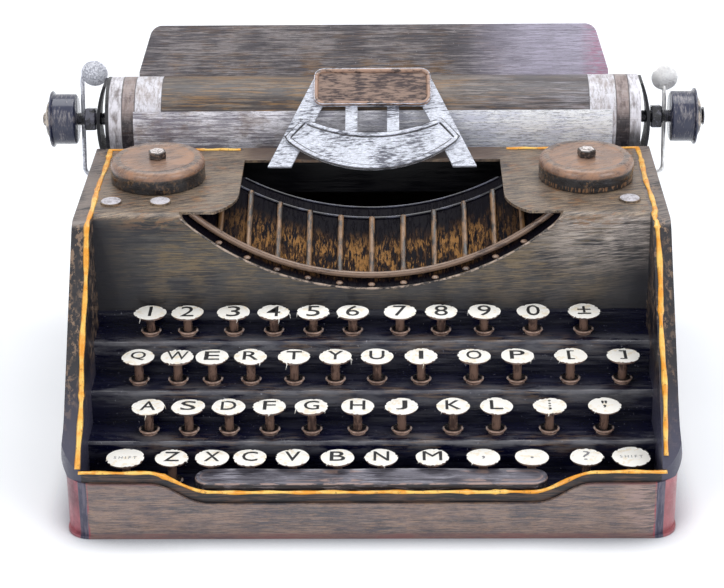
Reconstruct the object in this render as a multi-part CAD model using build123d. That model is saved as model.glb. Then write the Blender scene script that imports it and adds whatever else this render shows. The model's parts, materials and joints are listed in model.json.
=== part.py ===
"""Decorative sheet-metal typewriter, in millimetres.

X runs across, Z is up and Y runs back, measured from the front of the base band.
place() moves the finished pieces so that the origin is under the middle of the object.
"""

from build123d import *
from math import asin, atan2, cos, degrees, hypot, radians, sin, sqrt, tan
import os

# Sheet metal and fits
SHEET = 1.2
FIT = 0.2  # one nested sheet beside another
RUNNING_FIT = 0.08  # radial, round a shaft, stem or pin
SEAT_GAP = 0.1
CAP_SIDES = 24  # flats on a key's cap
STEM_SIDES = 8  # flats on stems, wires and the small turned pieces that repeat

# Base band and base plate
BODY_WIDTH = 250.0
BODY_DEPTH = 236.0
BAND_HEIGHT = 25.5
BAND_DIP_HEIGHT = 16.3
BAND_CORNER_RADIUS = 14.0
DIP_HALF_WIDTH = 65.0
DIP_SHOULDER = 26.0
BASE_PLATE_CORNER_RADIUS = 10.0

# Housing
DECK_HEIGHT = 110.0
DECK_REAR = 157.0
BED_HEIGHT = 90.0
RIM_WIDTH = 7.5
RIM_FOOT_Y = 3.0
RIM_FOOT_HEIGHT = 31.0
RIM_SLOPE = 48.7
RIM_CROWN_RADIUS = 9.0
FLARE = 1.8
FLARE_RISE = 17.0
SILL_RISE = 4.2
WEB_DROP = 3.0
WALL_FRONT = 77.9
ROLL_RADIUS = 5.0
BACK_CORNER_RADIUS = 6.0

# Stepped key deck
TREAD_COUNT = 4
TREAD_DEPTH = 17.1
RISER_HEIGHT = 14.6
LOWEST_TREAD_Z = 15.5
LOWEST_TREAD_EDGE_Y = 10.0
TOP_LIP = 7.2
DECK_SHEET = 1.0
NOSE_RADIUS = 1.6

# Keys
CAP_DIAMETER = 14.2
SHIFT_CAP_DIAMETER = 16.2
CAP_THICKNESS = 1.6
STEM_DIAMETER = 3.8
STEM_TAIL = 5.0
KEY_RISE = 12.3
TOP_ROW_RISE = 10.2
COLLAR_DIAMETER = 8.8
COLLAR_FOOT_DIAMETER = 6.0
COLLAR_HEIGHT = 2.2

# Each row: names, left-hand x, first pitch, how the pitch grows, and hand-set nudges, all in row units
ROW_UNIT = 1.0
ROWS = (
    ("shift_left z x c v b n m comma period question shift_right", -101.2, 16.4, 0.235,
     (0, 2.5, 2, 0, -0.5, -0.5, -1.5, 0, 1, 0.5, 2, -1)),
    ("a s d f g h j k l colon quote", -92.8, 15.9, 0.305,
     (0, 0.5, 0.5, 0, -0.5, 0, -1, 0.5, -2, -1, 0)),
    ("q w e r t y u i o p bracket_left bracket_right", -98.0, 15.2, 0.295,
     (0, 1, -0.5, -1, 0, -0.5, -1.5, -2, 0.5, -1.5, 0, 0.5)),
    ("1 2 3 4 5 6 7 8 9 0 plus_minus", -94.0, 16.6, 0.18,
     (0, -1, 1.5, 1, 0, -1.5, 0, -1.5, -2.5, -1.5, 0)),
)

# Space bar
BAR_LENGTH = 144.0
BAR_DEPTH = 12.0
BAR_FRONT = 4.0
BAR_TOP_Z = 24.4
BAR_HEIGHT = 4.4
BAR_WALL = 1.0
BAR_POST_X = 50.0

# Type well, crescent and basket
WELL_HALF_WIDTH = 57.0
WELL_REAR = 142.0
WELL_CORNER_RADIUS = 25.0
CRESCENT_RADIUS = 115.0
CRESCENT_BOTTOM_Z = 76.5
BASKET_LIP = 1.0
BASKET_SLOPE = 22.0
BASKET_REAR = 125.0
ROD_DIAMETER = 2.9
ROD_RISE = 3.2
ROD_Y = 84.6
TYPEBAR_COUNT = 11
TYPEBAR_PITCH = 6.8  # degrees round the basket
TYPEBAR_WIDTH = 2.6
TYPEBAR_HEIGHT = 2.0
TYPEBAR_FRONT = 86.8
TYPEBAR_REAR = 118.0
TYPEBAR_RIVET_DIAMETER = 3.2
TYPEBAR_RIVET_Y = 81.2
SMALL_RIVET_HEIGHT = 0.9

# Spool covers
SPOOL_X = 93.5
SPOOL_Y = 121.5
SPOOL_RADIUS = 20.6
SPOOL_HEIGHT = 9.5
SPOOL_EDGE = 2.6
SPOOL_GAP = 0.3
SPOOL_RING_RADIUS = 16.0
STUD_DIAMETER = 4.0
SPOOL_NUT_FLATS = 7.0
SPOOL_NUT_HEIGHT = 3.2
DECK_RIVET_DIAMETER = 9.2
DECK_RIVET_HEIGHT = 0.9
DECK_RIVETS = ((-111.0, 93.5), (-90.0, 93.5), (110.0, 94.5))

# Platen and carriage
PLATEN_Y = 185.0
PLATEN_Z = 114.0
PLATEN_RADIUS = 19.5
PLATEN_HALF_LENGTH = 122.0
SHAFT_DIAMETER = 6.0
BRACKET_WIDTH = 12.0
BRACKET_THICKNESS = 1.4
BRACKET_BOW = 4.0
BRACKET_TOP = 132.0
BRACKET_TAB = 12.0
BRACKET_GAP = 0.4
APRON_HALF_WIDTH = 109.0
APRON_TOP_ANGLE = 29.0
APRON_GAP = 0.4
APRON_THICKNESS = 0.9
APRON_FLANGE = 5.0
TABLE_FOOT_Y = 210.0
TABLE_LEAN = 22.3
TABLE_LENGTH = 58.0
TABLE_HALF_WIDTH = 112.0
TABLE_TOP_HALF_WIDTH = 105.2
TABLE_SHOULDER = 36.0
TABLE_CORNER_RADIUS = 6.0
AXLE_NUT_FLATS = 10.0
AXLE_NUT_THICKNESS = 5.0
AXLE_NUT_GAP = 0.6
KNOB_GAP = 0.9
KNOB_LENGTH = 10.4
KNOB_RADIUS = 11.6
KNOB_FLANGE_RADIUS = 13.0
KNOB_FLANGE_THICKNESS = 1.4
KNOB_DOME_RADIUS = 9.2
KNOB_DOME_HEIGHT = 2.6
SHAFT_STUB = 0.7
END_WASHER_DIAMETER = 8.4
END_WASHER_THICKNESS = 0.8

# Type guide
GUIDE_FOOT = 4.3
GUIDE_TOP = 46.0
GUIDE_FOOT_HALF_WIDTH = 46.5
GUIDE_TOP_HALF_WIDTH = 26.0
GUIDE_LEG_FOOT_WIDTH = 10.0
GUIDE_WINDOW_BOTTOM = 8.0
GUIDE_WINDOW_TOP = 29.0
GUIDE_WINDOW_TOP_HALF_WIDTH = 22.5
STRUT_X = 9.4
STRUT_WIDTH = 5.4
FAN_HALF_WIDTH = 39.0
FAN_SIDE = 10.0
FAN_TOP_HALF_WIDTH = 31.0
FAN_TOP = 20.4
FAN_TOP_SAG = 12.4
FAN_DROP = 6.5
FAN_CORNER_RADIUS = 2.5
BEAD_WIDTH = 1.5
BEAD_HEIGHT = 0.9
NAME_PLATE_BOTTOM = 28.3
NAME_PLATE_HEIGHT = 20.0
NAME_PLATE_WIDTH = 53.0
NAME_PLATE_CORNER_RADIUS = 4.5

# Carriage levers
LEVER_GAP = 1.0
LEVER_WIRE_DIAMETER = 2.0
LEVER_PIVOT_Y = 184.0
LEVER_PIVOT_Z = 86.5
LEVER_LEAN_Y = 196.0
LEVER_BEND_RADIUS = 4.0
LEVER_PIN_INNER_X = 120.0
LEVER_DISC_DIAMETER = 12.4
LEVER_DISC_THICKNESS = 1.2
LEFT_DISC_INSET = 6.0
LEFT_DISC_Z = 133.0
RIGHT_DISC_Z = 129.5

# Worked out from the sizes above
HALF_WIDTH = BODY_WIDTH / 2
FOOT_HALF_WIDTH = HALF_WIDTH - SHEET - FIT
CASE_FRONT = SHEET + FIT
CASE_BACK = BODY_DEPTH - SHEET - FIT
WELL_SIDE = HALF_WIDTH - RIM_WIDTH
WALL_BACK = WALL_FRONT + SHEET
DECK_UNDERSIDE = DECK_HEIGHT - SHEET
STEM_RADIUS = STEM_DIAMETER / 2
CRESCENT_CENTRE_Z = CRESCENT_BOTTOM_Z + CRESCENT_RADIUS
BASKET_RADIUS = CRESCENT_RADIUS + BASKET_LIP
BASKET_RUN = Vector(0, cos(radians(BASKET_SLOPE)), sin(radians(BASKET_SLOPE)))
WELL_TIP = sqrt(CRESCENT_RADIUS**2 - (CRESCENT_CENTRE_Z - DECK_HEIGHT) ** 2)
NUT_START = PLATEN_HALF_LENGTH + BRACKET_GAP + BRACKET_BOW + BRACKET_THICKNESS + AXLE_NUT_GAP
NUT_END = NUT_START + AXLE_NUT_THICKNESS
LEVER_X = max(NUT_END, HALF_WIDTH + FLARE) + LEVER_GAP + LEVER_WIRE_DIAMETER / 2
KNOB_START = LEVER_X + LEVER_WIRE_DIAMETER / 2 + KNOB_GAP
SHAFT_END = KNOB_START + KNOB_LENGTH + KNOB_FLANGE_THICKNESS + KNOB_DOME_HEIGHT + SHAFT_STUB
FAR = 400.0  # beyond every face, for cutting tools
FROM_ITS_FOOT = (Align.CENTER, Align.CENTER, Align.MIN)


def polygon(*points):
    return make_face(Polyline(*points, close=True))


def prism_x(sketch, x0, x1):
    return extrude(Plane.YZ.offset(x0) * sketch, x1 - x0)


def prism_y(sketch, y0, y1):
    return extrude(Plane.XZ.offset(-y0) * sketch, y0 - y1)


def prism_z(sketch, z0, z1):
    return extrude(Plane.XY.offset(z0) * sketch, z1 - z0)


def block(x0, x1, y0, y1, z0, z1):
    return Pos((x0 + x1) / 2, (y0 + y1) / 2, (z0 + z1) / 2) * Box(x1 - x0, y1 - y0, z1 - z0)


def rod_x(radius, x0, x1, y, z):
    return Pos(x0, y, z) * Rot(0, 90, 0) * Cylinder(radius, x1 - x0, align=FROM_ITS_FOOT)


def rod_z(radius, z0, z1, x, y):
    return Pos(x, y, z0) * Cylinder(radius, z1 - z0, align=FROM_ITS_FOOT)


def post(radius, sides, z0, z1, x, y):
    """A round-looking upright piece, drawn with flats."""
    return prism_z(Pos(x, y) * RegularPolygon(radius, sides), z0, z1)


def band_line(rise):
    """The front edge line: level at the corners and dipping in the middle."""
    high = BAND_HEIGHT + rise
    low = BAND_DIP_HEIGHT + rise
    outer = DIP_HALF_WIDTH + DIP_SHOULDER
    right = Spline((DIP_HALF_WIDTH, low), (outer, high), tangents=((1, 0), (1, 0)))
    left = Spline((-outer, high), (-DIP_HALF_WIDTH, low), tangents=((1, 0), (1, 0)))
    middle = Line((-DIP_HALF_WIDTH, low), (DIP_HALF_WIDTH, low))
    return left, middle, right, outer, high


def above_band_line(rise, half_width):
    """The sketch of everything over the front edge line."""
    left, middle, right, outer, high = band_line(rise)
    frame = Polyline(
        (outer, high),
        (half_width, high),
        (half_width, FAR),
        (-half_width, FAR),
        (-half_width, high),
        (-outer, high),
    )
    return make_face(Curve() + [left, middle, right, frame])


# Base


def base_band():
    middle = Pos(0, BODY_DEPTH / 2)
    outside = middle * RectangleRounded(BODY_WIDTH, BODY_DEPTH, BAND_CORNER_RADIUS)
    inside = offset(outside, -SHEET)
    band = prism_z(outside - inside, SHEET, BAND_HEIGHT)
    return band - prism_y(above_band_line(0, HALF_WIDTH - BAND_CORNER_RADIUS), -SHEET, 2 * SHEET)


def base_plate():
    plan = Pos(0, BODY_DEPTH / 2) * RectangleRounded(BODY_WIDTH, BODY_DEPTH, BASE_PLATE_CORNER_RADIUS)
    return prism_z(plan, 0, SHEET)


# Housing


def side_outline():
    slope_run = (DECK_HEIGHT - RIM_FOOT_HEIGHT) / tan(radians(RIM_SLOPE))
    crown = (RIM_FOOT_Y + slope_run, DECK_HEIGHT)
    back = (CASE_BACK, BED_HEIGHT)
    outline = polygon(
        (CASE_FRONT, SHEET),
        (CASE_FRONT, RIM_FOOT_HEIGHT),
        (RIM_FOOT_Y, RIM_FOOT_HEIGHT),
        crown,
        (DECK_REAR, DECK_HEIGHT),
        (DECK_REAR, BED_HEIGHT),
        back,
        (CASE_BACK, SHEET),
    )
    by_place = outline.vertices()
    outline = fillet(by_place.sort_by_distance((*crown, 0))[0], RIM_CROWN_RADIUS)
    return fillet(outline.vertices().sort_by_distance((*back, 0))[0], BACK_CORNER_RADIUS)


def flared_section(inset):
    """The front view of the casing: a foot inside the band, a flare just over it and upright sides."""
    foot = FOOT_HALF_WIDTH - inset
    flare = HALF_WIDTH + FLARE - inset
    side = HALF_WIDTH - inset
    flare_z = RIM_FOOT_HEIGHT
    top_z = RIM_FOOT_HEIGHT + FLARE_RISE
    mid = ((flare + 3 * side) / 4, (flare_z + top_z) / 2)
    right = Curve() + [
        Polyline((0, -SHEET), (foot, -SHEET), (foot, BAND_HEIGHT), (flare, flare_z)),
        ThreePointArc((flare, flare_z), mid, (side, top_z)),
        Polyline((side, top_z), (side, FAR), (0, FAR)),
    ]
    return make_face(right + mirror(right, Plane.YZ))


def casing_block(inset):
    """The casing's outer form, or with an inset the room inside its sheet."""
    outline = side_outline()
    if inset:
        outline = offset(outline, -inset, kind=Kind.INTERSECTION)
        outline += Pos(BODY_DEPTH / 2, SHEET) * Rectangle(CASE_BACK - CASE_FRONT - 2 * inset, 4 * inset)
    side = prism_x(outline, -FAR / 2, FAR / 2)
    section = prism_y(flared_section(inset), -SHEET, BODY_DEPTH + SHEET)
    middle = Pos(0, BODY_DEPTH / 2)
    foot_depth = CASE_BACK - CASE_FRONT - 2 * inset
    corner = BAND_CORNER_RADIUS - SHEET - FIT - inset
    foot = middle * RectangleRounded(2 * (FOOT_HALF_WIDTH - inset), foot_depth, corner)
    upper = middle * RectangleRounded(2 * (HALF_WIDTH + FLARE - inset), foot_depth, corner + FLARE)
    plan = prism_z(foot, -SHEET, BAND_HEIGHT) + prism_z(upper, BAND_HEIGHT, FAR / 2)
    return side & section & plan


def rim_webs(outer):
    """The two inner walls, from the side rims down to just under the treads."""
    back_z = LOWEST_TREAD_Z + (TREAD_COUNT - 1) * RISER_HEIGHT - WEB_DROP
    front_y = WALL_BACK - (back_z - SHEET) * TREAD_DEPTH / RISER_HEIGHT
    region = polygon(
        (front_y, SHEET),
        (CASE_FRONT, SHEET),
        (CASE_FRONT, FAR / 2),
        (WALL_BACK, FAR / 2),
        (WALL_BACK, back_z),
    )
    webs = prism_x(region, WELL_SIDE, WELL_SIDE + SHEET) + prism_x(region, -WELL_SIDE - SHEET, -WELL_SIDE)
    return webs & outer


def front_wall():
    """The upright panel over the keys, rolled back into the deck at its top."""
    foot_z = LOWEST_TREAD_Z + (TREAD_COUNT - 1) * RISER_HEIGHT + TOP_LIP + SEAT_GAP
    bend_z = DECK_HEIGHT - ROLL_RADIUS
    bend_y = WALL_FRONT + ROLL_RADIUS
    inner = ROLL_RADIUS - SHEET
    slant = sin(radians(45))
    profile = make_face(
        Curve()
        + [
            Line((WALL_FRONT, foot_z), (WALL_FRONT, bend_z)),
            ThreePointArc(
                (WALL_FRONT, bend_z),
                (bend_y - ROLL_RADIUS * slant, bend_z + ROLL_RADIUS * slant),
                (bend_y, DECK_HEIGHT),
            ),
            Polyline((bend_y, DECK_HEIGHT), (bend_y + SHEET, DECK_HEIGHT), (bend_y + SHEET, DECK_UNDERSIDE),
                     (bend_y, DECK_UNDERSIDE)),
            ThreePointArc(
                (bend_y, DECK_UNDERSIDE),
                (bend_y - inner * slant, bend_z + inner * slant),
                (WALL_BACK, bend_z),
            ),
            Polyline((WALL_BACK, bend_z), (WALL_BACK, foot_z), (WALL_FRONT, foot_z)),
        ]
    )
    return prism_x(profile, -WELL_SIDE, WELL_SIDE)


def deck_opening():
    """The plan of the type well: straight sides that flare out to the tips of the crescent."""
    front = WALL_FRONT - SHEET
    bend_y = WALL_FRONT + WELL_CORNER_RADIUS
    spread = WELL_TIP - WELL_HALF_WIDTH
    slant = 1 - sin(radians(45))
    mid = (WELL_HALF_WIDTH + spread * slant, WALL_FRONT + WELL_CORNER_RADIUS * slant)
    right = Curve() + [
        Polyline((0, front), (WELL_TIP, front), (WELL_TIP, WALL_FRONT)),
        ThreePointArc((WELL_TIP, WALL_FRONT), mid, (WELL_HALF_WIDTH, bend_y)),
        Polyline((WELL_HALF_WIDTH, bend_y), (WELL_HALF_WIDTH, WELL_REAR), (0, WELL_REAR)),
    ]
    return make_face(right + mirror(right, Plane.YZ))


def housing():
    outer = casing_block(0)
    shell = outer - casing_block(SHEET)
    shell -= prism_y(above_band_line(SILL_RISE, WELL_SIDE), -SHEET, WALL_FRONT)
    front, back = WALL_FRONT - SHEET, WALL_FRONT + ROLL_RADIUS
    shell -= block(-WELL_SIDE, WELL_SIDE, front, back, DECK_HEIGHT - 2 * SHEET, FAR)
    shell += rim_webs(outer)
    shell += front_wall()
    shell -= prism_z(deck_opening(), DECK_HEIGHT - ROLL_RADIUS, FAR)
    shell -= prism_y(Pos(0, CRESCENT_CENTRE_Z) * Circle(CRESCENT_RADIUS), front, back)
    stud_top = DECK_HEIGHT + SPOOL_GAP + SPOOL_HEIGHT + SPOOL_NUT_HEIGHT
    for side in (-1, 1):
        shell += rod_z(STUD_DIAMETER / 2, DECK_UNDERSIDE, stud_top, side * SPOOL_X, SPOOL_Y)
        hole = LEVER_WIRE_DIAMETER / 2 + RUNNING_FIT
        start, end = sorted((side * (HALF_WIDTH + SHEET), side * (HALF_WIDTH - 2 * SHEET)))
        shell -= rod_x(hole, start, end, LEVER_PIVOT_Y, LEVER_PIVOT_Z)
    for x, y in DECK_RIVETS:
        shell += rod_z(DECK_RIVET_DIAMETER / 2, DECK_UNDERSIDE, DECK_HEIGHT + DECK_RIVET_HEIGHT, x, y)
    return shell


# Key deck, guides and keys


def tread_edge(row):
    """The front edge of a tread, as its y and z. Row 0 is the lowest."""
    return LOWEST_TREAD_EDGE_Y + row * TREAD_DEPTH, LOWEST_TREAD_Z + row * RISER_HEIGHT


def key_places():
    """Each key: its name, x, y, the z of its tread, its rise and its cap's diameter."""
    places = []
    for row, (names, first, pitch, growth, nudges) in enumerate(ROWS):
        edge_y, tread_z = tread_edge(row)
        rise = TOP_ROW_RISE if row == TREAD_COUNT - 1 else KEY_RISE
        for column, (name, nudge) in enumerate(zip(names.split(), nudges)):
            x = ROW_UNIT * (first + pitch * column + growth * column**2 + nudge)
            cap = SHIFT_CAP_DIAMETER if name.startswith("shift") else CAP_DIAMETER
            places.append((name, x, edge_y + TREAD_DEPTH / 2, tread_z, rise, cap))
    return places


def bar_post_places():
    return [(side * BAR_POST_X, BAR_FRONT + BAR_DEPTH / 2) for side in (-1, 1)]


def key_deck():
    """One folded sheet: four treads, their risers and a lip up behind the front wall."""
    top = [(CASE_FRONT, LOWEST_TREAD_Z)]
    for row in range(1, TREAD_COUNT):
        y, z = tread_edge(row)
        top += [(y, z - RISER_HEIGHT), (y, z)]
    lip_y, next_z = tread_edge(TREAD_COUNT)
    tread_z = next_z - RISER_HEIGHT
    top += [(lip_y, tread_z), (lip_y, tread_z + TOP_LIP)]
    under = [(y + DECK_SHEET, z - DECK_SHEET) for y, z in top[1:-1]]
    start = (top[0][0], top[0][1] - DECK_SHEET)
    end = (top[-1][0] + DECK_SHEET, top[-1][1])
    profile = polygon(*top, end, *reversed(under), start)
    for row in range(1, TREAD_COUNT):
        y, z = tread_edge(row)
        profile = fillet(profile.vertices().sort_by_distance((y, z, 0))[0], NOSE_RADIUS)
    deck = prism_x(profile, -WELL_SIDE, WELL_SIDE)
    places = [(x, y, z) for _, x, y, z, _, _ in key_places()]
    places += [(x, y, LOWEST_TREAD_Z) for x, y in bar_post_places()]
    hole = STEM_RADIUS + RUNNING_FIT
    cuts = [post(hole, STEM_SIDES, z - 2 * DECK_SHEET, z + DECK_SHEET, x, y) for x, y, z in places]
    return (deck & casing_block(SHEET + SEAT_GAP)) - cuts


def key_guides():
    """A flared collar on the tread round each key's stem."""
    foot = RegularPolygon(COLLAR_FOOT_DIAMETER / 2, STEM_SIDES)
    spread = (COLLAR_DIAMETER - COLLAR_FOOT_DIAMETER) / 2 * cos(radians(180 / STEM_SIDES))
    flare = degrees(atan2(spread, COLLAR_HEIGHT))
    collar = extrude(foot, COLLAR_HEIGHT, taper=-flare)
    collar -= post(STEM_RADIUS + RUNNING_FIT, STEM_SIDES, 0, COLLAR_HEIGHT, 0, 0)
    return [Pos(x, y, z) * collar for _, x, y, z, _, _ in key_places()]


def key(x, y, tread_z, rise, cap):
    top = tread_z + rise
    stem = post(STEM_RADIUS, STEM_SIDES, tread_z - DECK_SHEET - STEM_TAIL, top - CAP_THICKNESS / 2, x, y)
    return post(cap / 2, CAP_SIDES, top - CAP_THICKNESS, top, x, y) + stem


def space_bar():
    """A stadium-shaped shell, open below, on two posts."""
    middle = Pos(0, BAR_FRONT + BAR_DEPTH / 2)
    outside = middle * SlotOverall(BAR_LENGTH, BAR_DEPTH)
    inside = middle * SlotOverall(BAR_LENGTH - 2 * BAR_WALL, BAR_DEPTH - 2 * BAR_WALL)
    bar = prism_z(outside, BAR_TOP_Z - BAR_HEIGHT, BAR_TOP_Z)
    bar = chamfer(bar.faces().sort_by(Axis.Z)[-1].edges(), BAR_WALL / 2)
    bar -= prism_z(inside, BAR_TOP_Z - BAR_HEIGHT, BAR_TOP_Z - BAR_WALL)
    foot = LOWEST_TREAD_Z - DECK_SHEET - STEM_TAIL
    for x, y in bar_post_places():
        bar += post(STEM_RADIUS, STEM_SIDES, foot, BAR_TOP_Z - BAR_WALL / 2, x, y)
    return bar


# Type basket


def under_deck():
    """The room behind the front wall's roll and under the deck."""
    front = WALL_BACK + SEAT_GAP
    top = DECK_UNDERSIDE - SEAT_GAP
    room = polygon((front, 0), (FAR, 0), (FAR, top), (front, top))
    room = fillet(room.vertices().sort_by_distance((front, top, 0))[0], ROLL_RADIUS - SHEET - SEAT_GAP)
    return prism_x(room, -FAR, FAR)


def basket_sheet():
    """A rolled sheet that slopes up and back from the crescent and ends under the deck."""
    reach = sin(radians(50)) * BASKET_RADIUS
    drop = CRESCENT_CENTRE_Z - cos(radians(50)) * BASKET_RADIUS
    outer = Circle(BASKET_RADIUS + SHEET) - Circle(BASKET_RADIUS)
    band = Pos(0, CRESCENT_CENTRE_Z) * outer & polygon((-reach, 0), (reach, 0), (reach, drop), (-reach, drop))
    length = (BASKET_REAR - WALL_BACK) / BASKET_RUN.Y
    return extrude(Plane.XZ.offset(-WALL_BACK) * band, length, dir=BASKET_RUN) & under_deck()


def guard_rod():
    """The bent rod that hangs in front of the typebars, with its ends under the deck plates."""
    centre = Vector(0, ROD_Y, CRESCENT_CENTRE_Z + ROD_RISE)
    reach = 46
    section = Plane.YZ * Pos(ROD_Y, centre.Z - CRESCENT_RADIUS) * RegularPolygon(ROD_DIAMETER / 2, STEM_SIDES)
    axis = Axis(centre, (0, 1, 0))
    rod = revolve(section.rotate(axis, -reach), axis, 2 * reach)
    return rod & under_deck()


def basket_point(angle, y, lift):
    """A point over the basket's face, and the plane there whose normal leaves the sheet."""
    run = y - WALL_BACK
    radius = BASKET_RADIUS
    side = Vector(cos(radians(angle)), 0, sin(radians(angle)))
    foot = Vector(radius * side.Z, y, CRESCENT_CENTRE_Z - radius * side.X + run * BASKET_RUN.Z / BASKET_RUN.Y)
    normal = side.cross(BASKET_RUN)
    return Plane(foot + normal * lift, x_dir=BASKET_RUN, z_dir=normal)


def typebars():
    """Ribs that fan across the basket, each with a rivet at its foot."""
    solids = []
    for place in range(TYPEBAR_COUNT):
        angle = (place - (TYPEBAR_COUNT - 1) / 2) * TYPEBAR_PITCH
        front = basket_point(angle, TYPEBAR_FRONT, SEAT_GAP)
        length = (TYPEBAR_REAR - TYPEBAR_FRONT) / BASKET_RUN.Y
        bar = Box(length, TYPEBAR_WIDTH, TYPEBAR_HEIGHT, align=(Align.MIN, Align.CENTER, Align.MIN))
        solids.append(front * bar & under_deck())
        rivet = post(TYPEBAR_RIVET_DIAMETER / 2, STEM_SIDES, 0, SMALL_RIVET_HEIGHT, 0, 0)
        solids.append(basket_point(angle, TYPEBAR_RIVET_Y, SEAT_GAP) * rivet & under_deck())
    return solids


# Spool covers


def spool_cover(side):
    """A turned cap with a ring on its top, held by a nut on the deck's stud."""
    floor = DECK_HEIGHT + SPOOL_GAP
    wall = SPOOL_RADIUS - SHEET
    profile = polygon(
        (STUD_DIAMETER / 2 + RUNNING_FIT, SPOOL_HEIGHT - SHEET),
        (wall, SPOOL_HEIGHT - SHEET),
        (wall, 0),
        (SPOOL_RADIUS, 0),
        (SPOOL_RADIUS, SPOOL_HEIGHT - SPOOL_EDGE),
        (SPOOL_RADIUS - SPOOL_EDGE / 3, SPOOL_HEIGHT - SPOOL_EDGE / 3),
        (SPOOL_RADIUS - SPOOL_EDGE, SPOOL_HEIGHT),
        (SPOOL_RING_RADIUS, SPOOL_HEIGHT),
        (SPOOL_RING_RADIUS - SHEET, SPOOL_HEIGHT - SHEET / 2),
        (STUD_DIAMETER / 2 + RUNNING_FIT, SPOOL_HEIGHT - SHEET / 2),
    )
    place = Pos(side * SPOOL_X, SPOOL_Y, floor)
    return place * revolve(Plane.XZ * profile, Axis.Z)


def hex_nut(flats, bore, thickness):
    across_corners = flats / cos(radians(30))
    return extrude(RegularPolygon(across_corners / 2, 6) - Circle(bore), thickness)


def spool_nut(side):
    nut = hex_nut(SPOOL_NUT_FLATS, STUD_DIAMETER / 2 + RUNNING_FIT, SPOOL_NUT_HEIGHT)
    seat_z = DECK_HEIGHT + SPOOL_GAP + SPOOL_HEIGHT - SHEET / 2
    return Pos(side * SPOOL_X, SPOOL_Y, seat_z) * nut


# Platen


def platen_roller():
    """A drum of sheet with a pressed disc in each end."""
    ring = Circle(PLATEN_RADIUS) - Circle(PLATEN_RADIUS - SHEET)
    disc = Circle(PLATEN_RADIUS - SHEET) - Circle(SHAFT_DIAMETER / 2 + RUNNING_FIT)
    half = PLATEN_HALF_LENGTH
    middle = Pos(PLATEN_Y, PLATEN_Z)
    drum = prism_x(middle * ring, -half, half)
    ends = [prism_x(middle * disc, -half, SHEET - half), prism_x(middle * disc, half - SHEET, half)]
    return drum + ends


def knob(side):
    """A turned cup with a flange and a low dome on its outer end."""
    bore = SHAFT_DIAMETER / 2 + RUNNING_FIT
    flange = KNOB_LENGTH + KNOB_FLANGE_THICKNESS
    face = Curve() + [
        Polyline(
            (bore, 0),
            (KNOB_RADIUS, 0),
            (KNOB_RADIUS, KNOB_LENGTH),
            (KNOB_FLANGE_RADIUS, KNOB_LENGTH),
            (KNOB_FLANGE_RADIUS, flange),
            (KNOB_DOME_RADIUS, flange),
        ),
        RadiusArc((KNOB_DOME_RADIUS, flange), (bore, flange + KNOB_DOME_HEIGHT), -2 * KNOB_DOME_RADIUS),
        Line((bore, flange + KNOB_DOME_HEIGHT), (bore, 0)),
    ]
    cup = revolve(Plane.XZ * make_face(face), Axis.Z)
    return Pos(side * KNOB_START, PLATEN_Y, PLATEN_Z) * Rot(0, side * 90, 0) * cup


def axle_nut(side):
    nut = hex_nut(AXLE_NUT_FLATS, SHAFT_DIAMETER / 2 + RUNNING_FIT, AXLE_NUT_THICKNESS)
    return Pos(side * NUT_START, PLATEN_Y, PLATEN_Z) * Rot(0, side * 90, 0) * nut


def shaft_pieces():
    far_end = SHAFT_END + END_WASHER_THICKNESS
    shaft = rod_x(SHAFT_DIAMETER / 2, -far_end, SHAFT_END, PLATEN_Y, PLATEN_Z)
    washer = rod_x(END_WASHER_DIAMETER / 2, SHAFT_END, far_end, PLATEN_Y, PLATEN_Z)
    return [shaft, washer, *(make(side) for make in (axle_nut, knob) for side in (-1, 1))]


# Carriage frame


def bracket(side):
    """A strap that bows outwards from a tab on the bed, round the end of the platen."""
    near = PLATEN_HALF_LENGTH + BRACKET_GAP
    mid_z = (BED_HEIGHT + BRACKET_TOP) / 2
    far = near + BRACKET_THICKNESS
    strap = make_face(
        Curve()
        + [
            ThreePointArc((near, BED_HEIGHT), (near + BRACKET_BOW, mid_z), (near, BRACKET_TOP)),
            Line((near, BRACKET_TOP), (far, BRACKET_TOP)),
            ThreePointArc((far, BRACKET_TOP), (far + BRACKET_BOW, mid_z), (far, BED_HEIGHT)),
            Line((far, BED_HEIGHT), (near, BED_HEIGHT)),
        ]
    )
    front = PLATEN_Y - BRACKET_WIDTH / 2
    back = PLATEN_Y + BRACKET_WIDTH / 2
    solid = prism_y(strap, front, back)
    solid += block(near - BRACKET_TAB, far, front, back, BED_HEIGHT, BED_HEIGHT + BRACKET_THICKNESS)
    solid -= rod_x(SHAFT_DIAMETER / 2 + RUNNING_FIT, near, far + 2 * BRACKET_BOW, PLATEN_Y, PLATEN_Z)
    return solid if side > 0 else mirror(solid, Plane.YZ)


def apron():
    """A sheet that wraps the front of the platen and drops to a flange on the bed."""
    inner = PLATEN_RADIUS + APRON_GAP
    outer = inner + APRON_THICKNESS

    def on_arc(radius, angle):
        return PLATEN_Y - radius * cos(radians(angle)), PLATEN_Z + radius * sin(radians(angle))

    top = APRON_TOP_ANGLE
    front = PLATEN_Y - outer
    back = PLATEN_Y - inner
    profile = make_face(
        Curve()
        + [
            ThreePointArc(on_arc(outer, 0), on_arc(outer, top / 2), on_arc(outer, top)),
            Line(on_arc(outer, top), on_arc(inner, top)),
            ThreePointArc(on_arc(inner, top), on_arc(inner, top / 2), on_arc(inner, 0)),
            Polyline(
                (back, PLATEN_Z),
                (back, BED_HEIGHT + APRON_THICKNESS),
                (back + APRON_FLANGE, BED_HEIGHT + APRON_THICKNESS),
                (back + APRON_FLANGE, BED_HEIGHT),
                (front, BED_HEIGHT),
                (front, PLATEN_Z),
            ),
        ]
    )
    return prism_x(profile, -APRON_HALF_WIDTH, APRON_HALF_WIDTH)


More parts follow.
